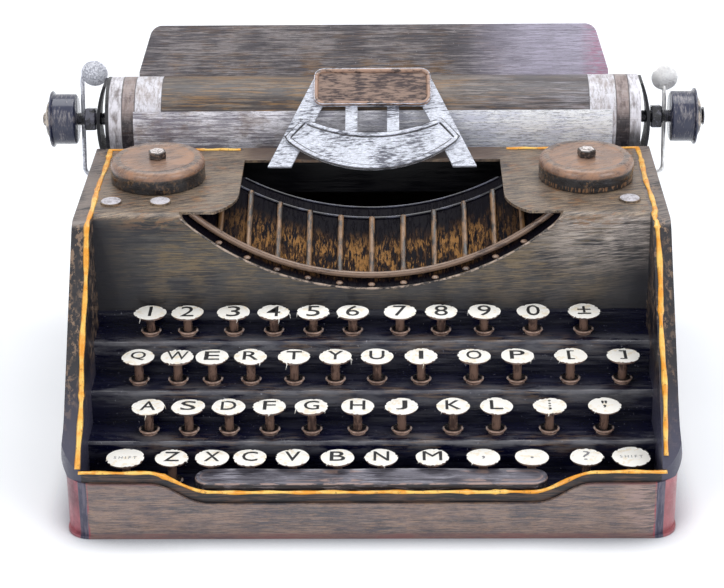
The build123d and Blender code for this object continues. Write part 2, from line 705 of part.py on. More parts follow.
def paper_table():
    """The leaning sheet behind the platen, trimmed level where it stands on the bed."""
    lean = radians(TABLE_LEAN)
    outline = polygon(
        (-TABLE_HALF_WIDTH, -TABLE_CORNER_RADIUS),
        (TABLE_HALF_WIDTH, -TABLE_CORNER_RADIUS),
        (TABLE_HALF_WIDTH, TABLE_SHOULDER),
        (TABLE_TOP_HALF_WIDTH, TABLE_LENGTH),
        (-TABLE_TOP_HALF_WIDTH, TABLE_LENGTH),
        (-TABLE_HALF_WIDTH, TABLE_SHOULDER),
    )
    outline = fillet(outline.vertices().sort_by(Axis.Y)[-2:], TABLE_CORNER_RADIUS)
    plane = Plane((0, TABLE_FOOT_Y, BED_HEIGHT), x_dir=(1, 0, 0), z_dir=(0, -cos(lean), sin(lean)))
    return extrude(plane * outline, SHEET) & block(-FAR, FAR, 0, FAR, BED_HEIGHT, FAR)


# Type guide


def guide_plane():
    """The plane that leans on the apron from the front edge of the bridge behind the type well."""
    foot_y = WELL_REAR - SEAT_GAP
    to_axis = (PLATEN_Y - foot_y, PLATEN_Z - DECK_HEIGHT)
    reach = PLATEN_RADIUS + APRON_GAP + APRON_THICKNESS + SEAT_GAP
    slope = atan2(to_axis[1], to_axis[0]) + asin(reach / hypot(*to_axis))
    return Plane((0, foot_y, DECK_HEIGHT), x_dir=(1, 0, 0), z_dir=(0, -sin(slope), cos(slope)))


def guide_frame():
    """Two splayed legs and two struts cut from one sheet."""
    inner_foot = GUIDE_FOOT_HALF_WIDTH - GUIDE_LEG_FOOT_WIDTH
    outside = polygon(
        (-GUIDE_FOOT_HALF_WIDTH, -GUIDE_FOOT),
        (GUIDE_FOOT_HALF_WIDTH, -GUIDE_FOOT),
        (GUIDE_TOP_HALF_WIDTH, GUIDE_TOP),
        (-GUIDE_TOP_HALF_WIDTH, GUIDE_TOP),
    )
    window = polygon(
        (-inner_foot, -GUIDE_FOOT - SHEET),
        (inner_foot, -GUIDE_FOOT - SHEET),
        (GUIDE_WINDOW_TOP_HALF_WIDTH, GUIDE_WINDOW_TOP),
        (-GUIDE_WINDOW_TOP_HALF_WIDTH, GUIDE_WINDOW_TOP),
    )
    sheet = outside - window
    for side in (-1, 1):
        strut_middle = (GUIDE_WINDOW_BOTTOM + GUIDE_TOP) / 2
        sheet += Pos(side * STRUT_X, strut_middle) * Rectangle(STRUT_WIDTH, GUIDE_TOP - GUIDE_WINDOW_BOTTOM)
    return extrude(guide_plane() * sheet, SHEET)


def beaded_plate(outline, lift):
    """A plate with a raised bead all round its edge."""
    plane = guide_plane().offset(lift)
    plate = extrude(plane * outline, SHEET)
    bead = outline - offset(outline, -BEAD_WIDTH, kind=Kind.INTERSECTION)
    return plate + extrude(plane.offset(SHEET) * bead, BEAD_HEIGHT)


def fan_plate():
    side = (FAN_HALF_WIDTH, FAN_SIDE)
    top = (FAN_TOP_HALF_WIDTH, FAN_TOP)
    outline = make_face(
        Curve()
        + [
            ThreePointArc((-side[0], side[1]), (0, -FAN_DROP), side),
            Line(side, top),
            ThreePointArc(top, (0, FAN_TOP_SAG), (-top[0], top[1])),
            Line((-top[0], top[1]), (-side[0], side[1])),
        ]
    )
    outline = fillet(outline.vertices(), FAN_CORNER_RADIUS)
    return beaded_plate(outline, SHEET)


def name_plate():
    outline = RectangleRounded(NAME_PLATE_WIDTH, NAME_PLATE_HEIGHT, NAME_PLATE_CORNER_RADIUS)
    return beaded_plate(Pos(0, NAME_PLATE_BOTTOM + NAME_PLATE_HEIGHT / 2) * outline, SHEET)


# Carriage levers


def lever(side, disc_inset, disc_z):
    """A bent wire that turns in the casing's side, with a disc for the finger on its top."""
    disc_x = LEVER_X - disc_inset
    wire = LEVER_WIRE_DIAMETER / 2
    points = [
        (LEVER_PIN_INNER_X, LEVER_PIVOT_Y, LEVER_PIVOT_Z),
        (LEVER_X, LEVER_PIVOT_Y, LEVER_PIVOT_Z),
        (LEVER_X, LEVER_LEAN_Y, disc_z),
    ]
    if disc_inset:
        points.append((disc_x, LEVER_LEAN_Y, disc_z))
    path = FilletPolyline(*points, radius=LEVER_BEND_RADIUS)
    solid = sweep(Plane(path @ 0, z_dir=path % 0) * RegularPolygon(wire, STEM_SIDES), path)
    disc_back = LEVER_LEAN_Y - wire / 2
    disc = Cylinder(LEVER_DISC_DIAMETER / 2, LEVER_DISC_THICKNESS, align=FROM_ITS_FOOT)
    solid += Pos(disc_x, disc_back, disc_z) * Rot(90, 0, 0) * disc
    return solid if side > 0 else mirror(solid, Plane.YZ)


def place(*pieces):
    """One shape from all the pieces of a node, moved so that the origin is under the middle."""
    solids = [solid for piece in pieces for solid in piece.solids()]
    return Pos(0, -BODY_DEPTH / 2, 0) * Compound(children=solids)


def nodes():
    keys = {}
    for name, *size in key_places():
        keys.setdefault("shift_keys" if name.startswith("shift") else f"key_{name}", []).append(key(*size))
    parts = {
        "base": place(base_plate(), base_band()),
        "housing": place(housing()),
        "key_deck": place(key_deck()),
        "key_guides": place(*key_guides()),
        "space_bar": place(space_bar()),
        "type_basket": place(basket_sheet(), guard_rod()),
        "typebars": place(*typebars()),
        "platen_roller": place(platen_roller()),
        "platen_shaft": place(*shaft_pieces()),
        "carriage_frame": place(apron(), paper_table(), bracket(-1), bracket(1)),
        "type_guide": place(guide_frame(), fan_plate(), name_plate()),
        "left_lever": place(lever(-1, LEFT_DISC_INSET, LEFT_DISC_Z)),
        "right_lever": place(lever(1, 0, RIGHT_DISC_Z)),
        "left_spool_cover": place(spool_cover(-1), spool_nut(-1)),
        "right_spool_cover": place(spool_cover(1), spool_nut(1)),
    }
    return parts | {name: place(*solids) for name, solids in keys.items()}


os.makedirs("parts", exist_ok=True)
for node_name, shape in nodes().items():
    export_step(shape, f"parts/{node_name}.step")
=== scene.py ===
"""Looks of a sheet-metal display typewriter with hand-brushed paint.

Sizes are millimetres from the middle of the front edge of the base band: X to the right, Y back and Z up.
place() turns them into metres in the model's own frame.
"""

import json
import math
import random

import bmesh
import bpy
from mathutils import Matrix, Vector


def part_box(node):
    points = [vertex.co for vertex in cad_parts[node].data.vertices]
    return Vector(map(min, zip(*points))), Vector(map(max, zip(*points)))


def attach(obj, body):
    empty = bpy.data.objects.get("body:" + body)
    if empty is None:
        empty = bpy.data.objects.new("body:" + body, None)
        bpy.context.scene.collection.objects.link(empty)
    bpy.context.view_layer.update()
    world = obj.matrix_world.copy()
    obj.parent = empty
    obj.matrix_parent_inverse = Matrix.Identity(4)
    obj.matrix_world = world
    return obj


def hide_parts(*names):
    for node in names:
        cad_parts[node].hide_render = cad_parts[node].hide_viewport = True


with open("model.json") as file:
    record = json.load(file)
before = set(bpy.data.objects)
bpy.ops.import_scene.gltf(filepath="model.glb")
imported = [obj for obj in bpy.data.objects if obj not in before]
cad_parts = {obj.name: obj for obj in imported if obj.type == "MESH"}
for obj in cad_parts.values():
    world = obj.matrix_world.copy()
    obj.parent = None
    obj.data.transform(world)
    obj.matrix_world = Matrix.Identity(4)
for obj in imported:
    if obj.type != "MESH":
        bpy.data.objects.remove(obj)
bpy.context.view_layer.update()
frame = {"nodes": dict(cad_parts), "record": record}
MM = 0.001
NODES = frame["nodes"]
BODY_OF = {node: body for body, nodes in frame["record"]["behaviour"]["bodies"].items() for node in nodes}
FRONT_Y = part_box("base")[0].y / MM
KEYS = sorted(node for node in NODES if node.startswith("key_") and node not in ("key_deck", "key_guides"))
DECK = 110.0
UP = (0, 0, 1)


def place(x, y, z):
    return Vector((x, y + FRONT_Y, z)) * MM


def measured(node):
    """The middle of a node's box, its foot and top, and half its width and depth, in millimetres."""
    low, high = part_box(node)
    x = (low.x + high.x) / 2 / MM
    y = (low.y + high.y) / 2 / MM - FRONT_Y
    return x, y, low.z / MM, high.z / MM, (high.x - low.x) / 2 / MM, (high.y - low.y) / 2 / MM


def add_object(name, data):
    made = bpy.data.objects.new(name, data)
    bpy.context.scene.collection.objects.link(made)
    return made


def enrol(piece, body, replaces):
    """Tells the frame which body a piece moves with, and which CAD nodes it stands in for."""
    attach(piece, body)
    if replaces:
        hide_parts(*replaces)


# ---------------------------------------------------------------- shader maths

# How far one step of a pattern's shift moves it, in metres.
SHIFT_STEP = 0.013


def rgb(red, green, blue):
    """A colour written from 0 to 255, as linear light."""

    def linear(value):
        value /= 255
        return value / 12.92 if value <= 0.04045 else ((value + 0.055) / 1.055) ** 2.4

    return (linear(red), linear(green), linear(blue), 1.0)


def as_light(shade):
    """Linear light for a colour of three numbers. Anything else stays as it is."""
    return rgb(*shade) if isinstance(shade, tuple) and len(shade) == 3 else shade


def level_for(cover):
    """The level of noise that about this share of a surface lies above."""
    return 0.5 + (0.5 - cover) * 0.2


class Val:
    """A number or colour that varies over a surface. Arithmetic on a number adds Math nodes."""

    def __init__(self, paint, socket):
        self.paint = paint
        self.socket = socket

    def math(self, operation, *others):
        return self.paint.node("ShaderNodeMath", {"operation": operation}, self, *others)

    def __add__(self, other):
        return self.math("ADD", other)

    def __mul__(self, other):
        return self.math("MULTIPLY", other)

    def __sub__(self, other):
        return self.math("SUBTRACT", other)

    def __rsub__(self, other):
        return self.paint.node("ShaderNodeMath", {"operation": "SUBTRACT"}, other, self)

    __radd__ = __add__
    __rmul__ = __mul__

    def abs(self):
        return self.math("ABSOLUTE")

    def most(self, other):
        return self.math("MAXIMUM", other)

    def rise(self, low, high):
        """0 below low, 1 above high, smooth between. With low above high it falls from 1 to 0."""
        start, end = (0.0, 1.0) if low < high else (1.0, 0.0)
        smooth = {"interpolation_type": "SMOOTHSTEP"}
        return self.paint.node("ShaderNodeMapRange", smooth, self, min(low, high), max(low, high), start, end)

    def band(self, low, high, soft):
        """1 from low to high, and 0 outside."""
        return self.rise(low - soft, low) * self.rise(high + soft, high)


class Paint:
    """One material, and the nodes that make its pattern. Colours are written from 0 to 255."""

    def __init__(self, name, roughness=0.5, metallic=0.0, coat=0.0, specular=0.5):
        self.material = bpy.data.materials.new(name)
        self.material.use_nodes = True
        self.tree = self.material.node_tree
        self.shader = self.tree.nodes["Principled BSDF"]
        fixed = {
            "Roughness": roughness,
            "Metallic": metallic,
            "Coat Weight": coat,
            "Specular IOR Level": specular,
        }
        for socket, value in fixed.items():
            self.shader.inputs[socket].default_value = value
        self.object_place = self.node("ShaderNodeTexCoord", {}, out=3)

    def node(self, kind, settings, *values, out=0):
        """Adds a node: its settings, then a value or a link for each of its inputs in turn."""
        node = self.tree.nodes.new(kind)
        for key, value in settings.items():
            setattr(node, key, value)
        for socket, value in zip([s for s in node.inputs if s.enabled], values):
            if isinstance(value, Val):
                self.tree.links.new(value.socket, socket)
            elif value is not None:
                socket.default_value = value
        return Val(self, [s for s in node.outputs if s.enabled][out])

    def axis(self, number):
        """The surface's place along one axis, in millimetres of the model's frame."""
        return self.node("ShaderNodeSeparateXYZ", {}, self.object_place, out=number) * (1 / MM)

    def axes(self):
        """The surface's place across, back from the front of the base, and up."""
        return self.axis(0), self.axis(1) - FRONT_Y, self.axis(2)

    def noise(self, length, detail=4.0, rough=0.55, shift=0.0, turn=0.0, lean=0.0):
        """Cloudy noise from 0 to 1. length gives the size of its features on each axis, in millimetres."""
        scale = [MM * size for size in (length if isinstance(length, tuple) else (length,) * 3)]
        shifted = (shift * SHIFT_STEP,) * 3
        kind = {"vector_type": "TEXTURE"}
        where = self.node("ShaderNodeMapping", kind, self.object_place, shifted, (0, lean, turn), scale)
        return self.node("ShaderNodeTexNoise", {}, where, 1.0, detail, rough)

    def strokes(self, length, cover, soft=0.03, patch=20.0, shift=0.0, turn=0.0, lean=0.0):
        """Dry-brush strokes: 1 where the brush left paint. cover is the share that is covered."""
        streak = self.noise(length, 6.0, 0.68, shift, turn, lean)
        cloud = self.noise(patch, 3.0, 0.5, shift + 3.1)
        level = streak * 0.66 + cloud * 0.34
        edge = level_for(cover)
        return level.rise(edge - soft, edge + soft)

    def flecks(self, length, amount, cover, shift, turn=0.0):
        """Fine streaks: amount where one lies, and 0 between."""
        streak = self.noise(length, 6.0, 0.8, shift, turn)
        edge = level_for(cover)
        return streak.rise(edge - 0.02, edge + 0.02) * amount

    def mix(self, amount, first, second):
        """first where amount is 0 and second where it is 1. Four numbers are linear light."""
        return self.node("ShaderNodeMix", {"data_type": "RGBA"}, amount, as_light(first), as_light(second))

    def layers(self, colour, *coats):
        """Coats laid over a colour in turn. Each is how much of it shows, and its own colour."""
        for shown, coat in coats:
            colour = self.mix(shown, colour, coat)
        return colour

    def finish(self, height=None, depth=0.3, **surface):
        """Links what varies to the shader, and height as a bump of depth millimetres."""
        for name, value in surface.items():
            self.tree.links.new(value.socket, self.shader.inputs[name.replace("_", " ").title()])
        if height is not None:
            bump = self.node("ShaderNodeBump", {}, 1.0, depth * MM)
            self.tree.links.new(height.socket, bump.socket.node.inputs["Height"])
            self.tree.links.new(bump.socket, self.shader.inputs["Normal"])
        return self.material


# ---------------------------------------------------------------- finishes


def casing_finish():
    """Black gloss: brushed along in slate and ochre in front, copper on the deck, speckled on the rims.
    Painted light is laid in too: a highlight at the upper right of the front wall, shade in the well and, in
    part, low on the wall, and a bluish reflection low on the rims.
    """
    paint = Paint("casing_brushed", coat=0.12)
    x, depth, z = paint.axes()
    from_middle = x.abs()
    slate = paint.strokes((34.0, 2.0, 1.3), 0.6, 0.05, 18.0)
    ochre = paint.strokes((13.0, 1.0, 0.55), 0.38, 0.035, 13.0, 5.0)
    swept = paint.strokes((24.0, 2.0, 0.8), 0.44, 0.05, 12.0, 6.0, lean=-0.2)
    weave = paint.noise((0.8, 6.0, 6.0), 3.0, 0.6, 2.0).rise(0.62, 0.72)
    bend_rust = paint.strokes((7.0, 2.5, 1.6), 0.4, 0.03, 9.0, 31.0)
    # The brush coats lie only higher up and away from the ends, so the wall is darker towards its foot and
    # its ends: partly how it was brushed, partly painted shade.
    across = from_middle.rise(117.0, 88.0)
    shown = across * z.rise(62.0, 90.0)
    # A pale coat at the upper right of the front wall: a painted highlight where the rolled top catches the
    # light.
    upper_right_highlight = x.rise(54.0, 106.0) * z.rise(80.0, 100.0)
    wall = paint.layers(
        (10, 10, 24),
        (slate * shown * 0.9, (82, 78, 74)),
        (ochre * shown * 0.75, (126, 106, 74)),
        (x.rise(10.0, 100.0) * swept * shown * 0.5, (142, 126, 108)),
        (upper_right_highlight * (slate * 0.5 + swept * 0.5) * 0.9, (208, 195, 186)),
        (weave * shown * 0.25, (120, 114, 104)),
        (paint.flecks((8.0, 0.8, 0.45), 0.55, 0.36, 22.0), (22, 21, 24)),
        (z.rise(102.0, 107.0) * bend_rust * across * 0.7, (134, 100, 70)),
    )
    sweep = paint.strokes((15.0, 1.3, 3.0), 0.62, 0.06, 16.0, 2.0, 0.42)
    bright = paint.strokes((20.0, 0.9, 3.0), 0.4, 0.04, 12.0, 8.0, 0.12)
    rust = paint.strokes((9.0, 3.0, 3.0), 0.22, 0.03, 9.0, 11.0, 0.3)
    behind_well = depth.rise(138.0, 146.0) * from_middle.rise(62.0, 52.0)
    deck = paint.layers(
        (44, 39, 40),
        (sweep, (114, 99, 87)),
        (bright * 0.6, (158, 138, 118)),
        (rust * 0.6, (142, 96, 56)),
        (paint.flecks((7.0, 0.7, 3.0), 0.7, 0.38, 21.0, 0.3), (30, 27, 30)),
        (paint.flecks((9.0, 0.6, 3.0), 0.5, 0.24, 25.0, 0.16), (176, 152, 120)),
        (behind_well * 0.8, (74, 56, 46)),
    )
    plate = z.rise(107.6, 109.4)
    speckle = paint.noise((2.2, 3.4, 3.4), 6.0, 0.75, 7.0).rise(0.5, 0.56)
    rubbed = paint.noise((6.0, 22.0, 22.0), 3.0, 0.5, 9.0).rise(0.42, 0.58)
    side = paint.layers(
        (20, 18, 26),
        (speckle * rubbed * z.rise(28.0, 70.0) * 0.9, (136, 112, 92)),
        # The lower part of each rim is painted bluish grey: a painted reflection on its flared foot.
        (z.rise(64.0, 36.0) * 0.5, (84, 84, 108)),
        (plate * sweep * 0.9, (124, 112, 106)),
    )
    # The inside of the housing behind and below the well is painted near black: painted shade in the hollow.
    well = depth.rise(84.0, 90.0) * depth.rise(232.0, 228.0) * z.rise(108.6, 107.6)
    rim = from_middle.rise(116.9, 117.5)
    sill = z.rise(32.0, 30.6) * depth.rise(6.0, 3.0) * (1 - rim)
    drag = paint.strokes((16.0, 1.0, 0.7), 0.4, 0.05, 12.0, 4.0)
    colour = paint.layers(
        wall,
        (plate, deck),
        (well, (7, 7, 13)),
        (rim * depth.rise(164.0, 158.0).most(z.rise(100.0, 96.0)), side),
        (sill, paint.mix(drag * 0.7, (16, 14, 20), (96, 72, 58))),
    )
    grain = paint.noise((12.0, 0.9, 0.5), 5.0, 0.65)
    rough = 0.26 + slate * 0.14 + grain * 0.1
    return paint.finish(base_color=colour, roughness=rough, height=grain, depth=0.09)


def step_finish():
    """Dark blue-black gloss. The bends are worn pale, a line that also stands in as a painted highlight on
    the rounded noses, and dull brown and dust lie on the treads.
    """
    paint = Paint("step_gloss", coat=0.12)
    x, depth, z = paint.axes()
    tread_depth, step_rise = 17.1, 14.6
    along = (depth - 10.0) * (1 / tread_depth) + (z - 15.5) * (1 / step_rise)
    from_nose = along.math("PINGPONG", 1.0)
    brush = paint.strokes((26.0, 3.4, 2.6), 0.38, 0.07, 26.0, 4.0)
    rust = paint.strokes((14.0, 1.8, 1.0), 0.34, 0.03, 16.0, 7.0)
    haze = paint.noise((20.0, 6.0, 6.0), 4.0, 0.6, 15.0).rise(0.42, 0.6)
    # worn: a pale line along each nose, partly wear and partly a painted highlight.
    worn = from_nose.rise(0.11, 0.03) * paint.noise((14.0, 3.0, 3.0), 5.0, 0.6, 6.0).rise(0.4, 0.58)
    dust = paint.noise(1.3, 3.0, 0.6, 12.0).rise(0.68, 0.72)
    middle = x.abs().rise(112.0, 76.0)
    colour = paint.layers(
        (5, 7, 36),
        (brush * middle * 0.5, (52, 53, 68)),
        (rust * middle * from_nose.rise(0.6, 0.05) * 0.6, (120, 98, 78)),
        (haze * from_nose.rise(0.6, 0.08) * 0.7, (102, 102, 108)),
        (worn * 0.4, (98, 97, 104)),
        (dust * 0.6, (160, 160, 172)),
    )
    rough = 0.14 + paint.noise((18.0, 5.0, 5.0), 3.0) * 0.2 + brush * 0.16
    dents = paint.noise((30.0, 7.0, 4.0), 2.0, 0.4, 2.0)
    return paint.finish(base_color=colour, roughness=rough, height=dents, depth=0.8)


def band_finish():
    """Taupe brushed over slate on the base band, with dark red corners."""
    paint = Paint("band_brushed", coat=0.12)
    x, depth, z = paint.axes()
    from_middle = x.abs()
    long = paint.strokes((34.0, 3.0, 1.3), 0.6, 0.05, (26.0, 26.0, 12.0))
    fine = paint.strokes((11.0, 3.0, 0.6), 0.4, 0.04, 14.0, 6.0)
    blotch = paint.strokes((14.0, 9.0, 2.0), 0.36, 0.08, (11.0, 11.0, 26.0), 14.0)
    red = paint.noise((7.0, 7.0, 12.0), 4.0, 0.55, 1.0).rise(0.36, 0.64)
    streaky = paint.noise((1.0, 3.0, 9.0), 4.0, 0.6, 5.0).rise(0.4, 0.62)
    wine = paint.layers((112, 56, 68), (red, (172, 98, 108)), (x.rise(0.0, 120.0) * 0.4, (196, 120, 122)))
    edges = z.rise(2.9, 2.1) + z.rise(24.6, 25.3)
    corner = from_middle.rise(118.6, 119.2) * depth.rise(40.0, 24.0)
    strip = from_middle.band(115.6, 118.8, 0.3) * depth.rise(8.0, 4.0)
    line = from_middle.band(114.9, 115.3, 0.25) * depth.rise(5.0, 2.0) * streaky
    colour = paint.layers(
        (90, 86, 90),
        (long, (136, 115, 106)),
        (blotch * 0.7, (84, 82, 92)),
        (fine * 0.6, (158, 138, 128)),
        (paint.flecks((5.0, 5.0, 0.5), 0.5, 0.34, 22.0), (66, 62, 68)),
        (paint.flecks((6.0, 6.0, 0.5), 0.4, 0.26, 26.0), (176, 142, 112)),
        (x.rise(96.0, 112.0) * fine * 0.5, (186, 156, 150)),
        (edges * fine.most(0.5), (128, 92, 90)),
        (corner, wine),
        (strip, paint.mix(streaky, (56, 56, 78), (98, 92, 108))),
        (line, (160, 74, 88)),
    )
    return paint.finish(base_color=colour, roughness=0.3 + fine * 0.2, height=long, depth=0.05)


def worn_finish(name, dark, light, cover, rub, depth=0.06, gloss=0.3, metallic=0.0, coat=0.3, specular=0.5):
    """Dark paint with a lighter one rubbed or brushed over it."""
    paint = Paint(name, coat=coat, metallic=metallic, specular=specular)
    brush = paint.strokes(rub, cover, 0.06, 9.0)
    colour = paint.mix(brush, dark, light)
    return paint.finish(base_color=colour, roughness=gloss + brush * 0.14, height=brush, depth=depth)


def spool_finish():
    """Copper brown on the top and the rim, stippled black on the wall."""
    paint = Paint("spool_copper", coat=0.35)
    x, z = paint.axis(0), paint.axis(2)
    swirl = paint.strokes((14.0, 4.0, 4.0), 0.5, 0.09, 14.0, 4.0, 0.5)
    fine = paint.strokes((8.0, 0.9, 1.2), 0.4, 0.04, 10.0, 8.0)
    streaks = paint.flecks((5.0, 0.7, 2.0), 0.5, 0.3, 22.0, 0.6)
    lid = paint.layers(
        (86, 76, 74),
        (swirl, (148, 128, 116)),
        (fine * 0.5, (170, 130, 98)),
        (streaks, (52, 44, 44)),
    )
    stipple = paint.noise((1.5, 1.5, 2.2), 6.0, 0.75).rise(0.5, 0.56)
    patch = paint.noise(9.0, 3.0, 0.5, 2.0).rise(0.42, 0.56)
    foot = z.band(110.6, 112.2, 0.3)
    ticks = foot * paint.noise((0.9, 0.9, 5.0), 2.0).rise(0.53, 0.56) * x.rise(-10.0, 10.0)
    shoulder = z.band(116.6, 119.3, 0.5)
    colour = paint.layers(
        (16, 15, 21),
        (stipple * patch * z.rise(109.0, 112.0) * 0.8, (116, 90, 66)),
        (ticks, (128, 94, 66)),
        (z.rise(115.4, 117.6), lid),
        (shoulder * 0.7 * swirl.most(0.5), (172, 124, 92)),
    )
    return paint.finish(base_color=colour, roughness=0.24 + swirl * 0.14, height=swirl, depth=0.12)


def silver_finish(name, dark, light, cover, length, turn=0.0):
    """Silver-white dragged over black, with the black showing between the strokes."""
    paint = Paint(name, metallic=0.1)
    long = paint.strokes(length, cover, 0.05, 16.0, 0.0, turn)
    fine = paint.noise(tuple(size * 0.35 for size in length), 6.0, 0.75, 8.0, turn).rise(0.4, 0.56)
    shown = long * (fine * 0.5 + 0.5)
    colour = paint.mix(shown, dark, light)
    return paint.finish(base_color=colour, roughness=0.34 + fine * 0.2, height=shown, depth=0.1)


def carriage_finish():
    """The apron silver, darker at its foot as painted shade, the paper table brown with a wine-coloured end
    and paler towards the right as a painted haze of light, and the brackets black.
    """
    paint = Paint("carriage_brushed", metallic=0.05)
    x, depth, z = paint.axes()
    drag = paint.strokes((17.0, 1.6, 0.9), 0.6, 0.06, 16.0)
    fine = paint.noise((5.0, 0.8, 0.5), 6.0, 0.75, 8.0).rise(0.4, 0.58)
    stain = paint.strokes((9.0, 5.0, 5.0), 0.2, 0.06, 14.0, 3.0) * x.rise(0.0, -50.0)
    whiter = x.rise(-60.0, 80.0)
    apron = paint.layers(
        paint.mix(whiter, (142, 138, 150), (222, 225, 240)),
        (drag * (fine * 0.5 + 0.5), paint.mix(whiter, (242, 240, 248), (252, 253, 255))),
        (stain * 0.5, (140, 120, 106)),
        (paint.flecks((3.0, 0.6, 0.4), 0.5, 0.32, 22.0), (66, 64, 74)),
        # The foot of the apron under the drum is painted dark: painted shade.
        (z.rise(93.4, 91.6) * 0.9, (40, 38, 46)),
    )
    brush = paint.strokes((19.0, 1.2, 0.7), 0.5, 0.05, 20.0, 2.0)
    ochre = paint.strokes((15.0, 1.2, 0.8), 0.3, 0.03, 14.0, 12.0)
    # haze: the paper table painted paler and bluer towards the right, a painted haze of light, with a
    # wine-coloured tint at its end.
    haze = paint.layers(
        (172, 167, 184),
        (brush, (194, 188, 208)),
        (paint.flecks((6.0, 0.6, 0.4), 0.4, 0.34, 22.0), (104, 98, 108)),
        (x.rise(97.0, 107.0) * fine * 0.6, (190, 104, 136)),
    )
    table = paint.layers(
        (90, 86, 92),
        (brush, (152, 145, 146)),
        (ochre * z.rise(140.0, 120.0).most(0.3) * 0.8, (140, 106, 68)),
        (paint.flecks((6.0, 0.6, 0.4), 0.5, 0.38, 22.0), (50, 46, 50)),
        (x.rise(36.0, 78.0), haze),
        (paint.noise(1.2, 3.0, 0.6, 9.0).rise(0.68, 0.72) * 0.6, (190, 186, 192)),
    )
    bracket = x.abs().rise(109.5, 110.0) * depth.rise(201.0, 199.0)
    colour = paint.layers(apron, (depth.rise(199.0, 201.0), table), (bracket, (20, 20, 28)))
    return paint.finish(base_color=colour, roughness=0.3 + fine * 0.2, height=drag, depth=0.1)


def platen_finish():
    """Brown brushed drum with silver and dark bands painted round its ends, the end bands darker underneath
    as painted shade.
    """
    paint = Paint("platen_brushed", coat=0.08)
    paint_offset = 1.2
    true_x, z = paint.axis(0), paint.axis(2)
    x = true_x - paint_offset
    from_middle = x.abs()
    brush = paint.strokes((36.0, 1.8, 1.3), 0.5, 0.05, 22.0)
    ochre = paint.strokes((20.0, 1.2, 0.9), 0.34, 0.03, (40.0, 12.0, 12.0), 6.0)
    scuff = paint.strokes((1.5, 6.0, 6.0), 0.66, 0.12, 7.0, 3.0)
    speck = paint.strokes((2.4, 2.4, 2.4), 0.34, 0.02, 8.0, 5.0)
    # low and under darken the end bands towards the bottom of the drum, the outer band more on the right:
    # painted shade.
    low = z.rise(127.0, 118.0)
    under = z.rise(120.0, 110.0) * (true_x.rise(-60.0, 60.0) * 0.5 + 0.5)
    scratches = paint.flecks((1.0, 4.0, 4.0), 0.5, 0.28, 23.0)
    silver = paint.layers((176, 166, 166), (scuff, (228, 227, 235)), (scratches, (120, 108, 106)))
    dull = paint.layers(
        (104, 88, 86),
        (low, (8, 9, 26)),
        (scuff * (0.8 - low * 0.7), (172, 156, 152)),
        (speck * (0.4 - low * 0.25), (176, 166, 168)),
    )
    end = paint.layers((126, 117, 118), (scuff, (234, 232, 240)), (under * 0.85, (34, 30, 36)))
    seam_places = ((97.3, 97.6), (109.6, 109.9), (115.4, 115.8))
    seams = [from_middle.band(start, stop, 0.15) for start, stop in seam_places]
    colour = paint.layers(
        (60, 52, 52),
        (brush, (116, 104, 94)),
        (ochre * 0.75, (136, 102, 62)),
        (x.rise(20.0, 90.0) * 0.75, paint.mix(brush, (86, 82, 88), (148, 146, 156))),
        (paint.flecks((9.0, 0.8, 0.5), 0.6, 0.36, 22.0), (40, 35, 36)),
        (from_middle.band(97.5, 109.8, 0.15), silver),
        (from_middle.band(109.8, 115.6, 0.15), dull),
        (from_middle.rise(115.5, 115.7), end),
        ((seams[0] + seams[1] + seams[2]) * 0.8, (48, 42, 44)),
        (from_middle.rise(121.3, 121.8), (18, 18, 26)),
    )
    return paint.finish(base_color=colour, roughness=0.3 + brush * 0.14, height=brush, depth=0.08)


def basket_finish():
    """Black sheet with golden brown rubbed up and down between the typebars."""
    paint = Paint("basket_rubbed", specular=0.03)
    x, depth, _ = paint.axes()
    rub = paint.strokes((1.5, 12.0, 9.0), 0.5, 0.03, (7.0, 16.0, 12.0))
    gold = paint.strokes((0.9, 6.0, 4.0), 0.42, 0.02, (6.0, 12.0, 10.0), 6.0)
    area = depth.rise(82.0, 88.0) * depth.rise(112.0, 98.0) * x.abs().rise(72.0, 36.0)
    colour = paint.layers(
        (14, 12, 20),
        (rub * area * 0.7, (82, 59, 42)),
        (gold * area * 0.9, (152, 110, 64)),
        (paint.flecks((0.7, 3.0, 2.0), 0.8, 0.32, 22.0), (10, 8, 12)),
    )
    return paint.finish(base_color=colour, roughness=0.26 + rub * area * 0.2, height=rub, depth=0.08)


def label_finish():
    """Cream paper, stained where the glue came through at its edge."""
    paint = Paint("label_paper", roughness=0.6)
    stain = paint.strokes(2.8, 0.2, 0.03, 6.0)
    soft = paint.noise(8.0, 3.0, 0.5, 4.0)
    colour = paint.layers((255, 254, 250), (soft, (254, 250, 240)), (stain * 0.5, (240, 220, 180)))
    return paint.finish(base_color=colour, height=soft, depth=0.1)


def ink_finish(name, shade):
    paint = Paint(name, roughness=0.55)
    worn = paint.noise(0.9, 4.0, 0.6).rise(0.56, 0.7)
    return paint.finish(base_color=paint.mix(worn * 0.3, (shade, shade, shade + 3), (120, 114, 108)))


def line_finish():
    """Orange-yellow lining paint, laid on thick."""
    paint = Paint("lining_yellow", roughness=0.28, coat=0.3)
    tone = paint.noise(6.0, 3.0, 0.5).rise(0.36, 0.64)
    thin = paint.noise((1.6, 1.6, 5.0), 4.0, 0.7, 5.0).rise(0.6, 0.64)
    colour = paint.layers((238, 158, 40), (tone, (255, 206, 104)), (thin * 0.6, (128, 92, 48)))
    return paint.finish(base_color=colour, height=tone, depth=0.3)


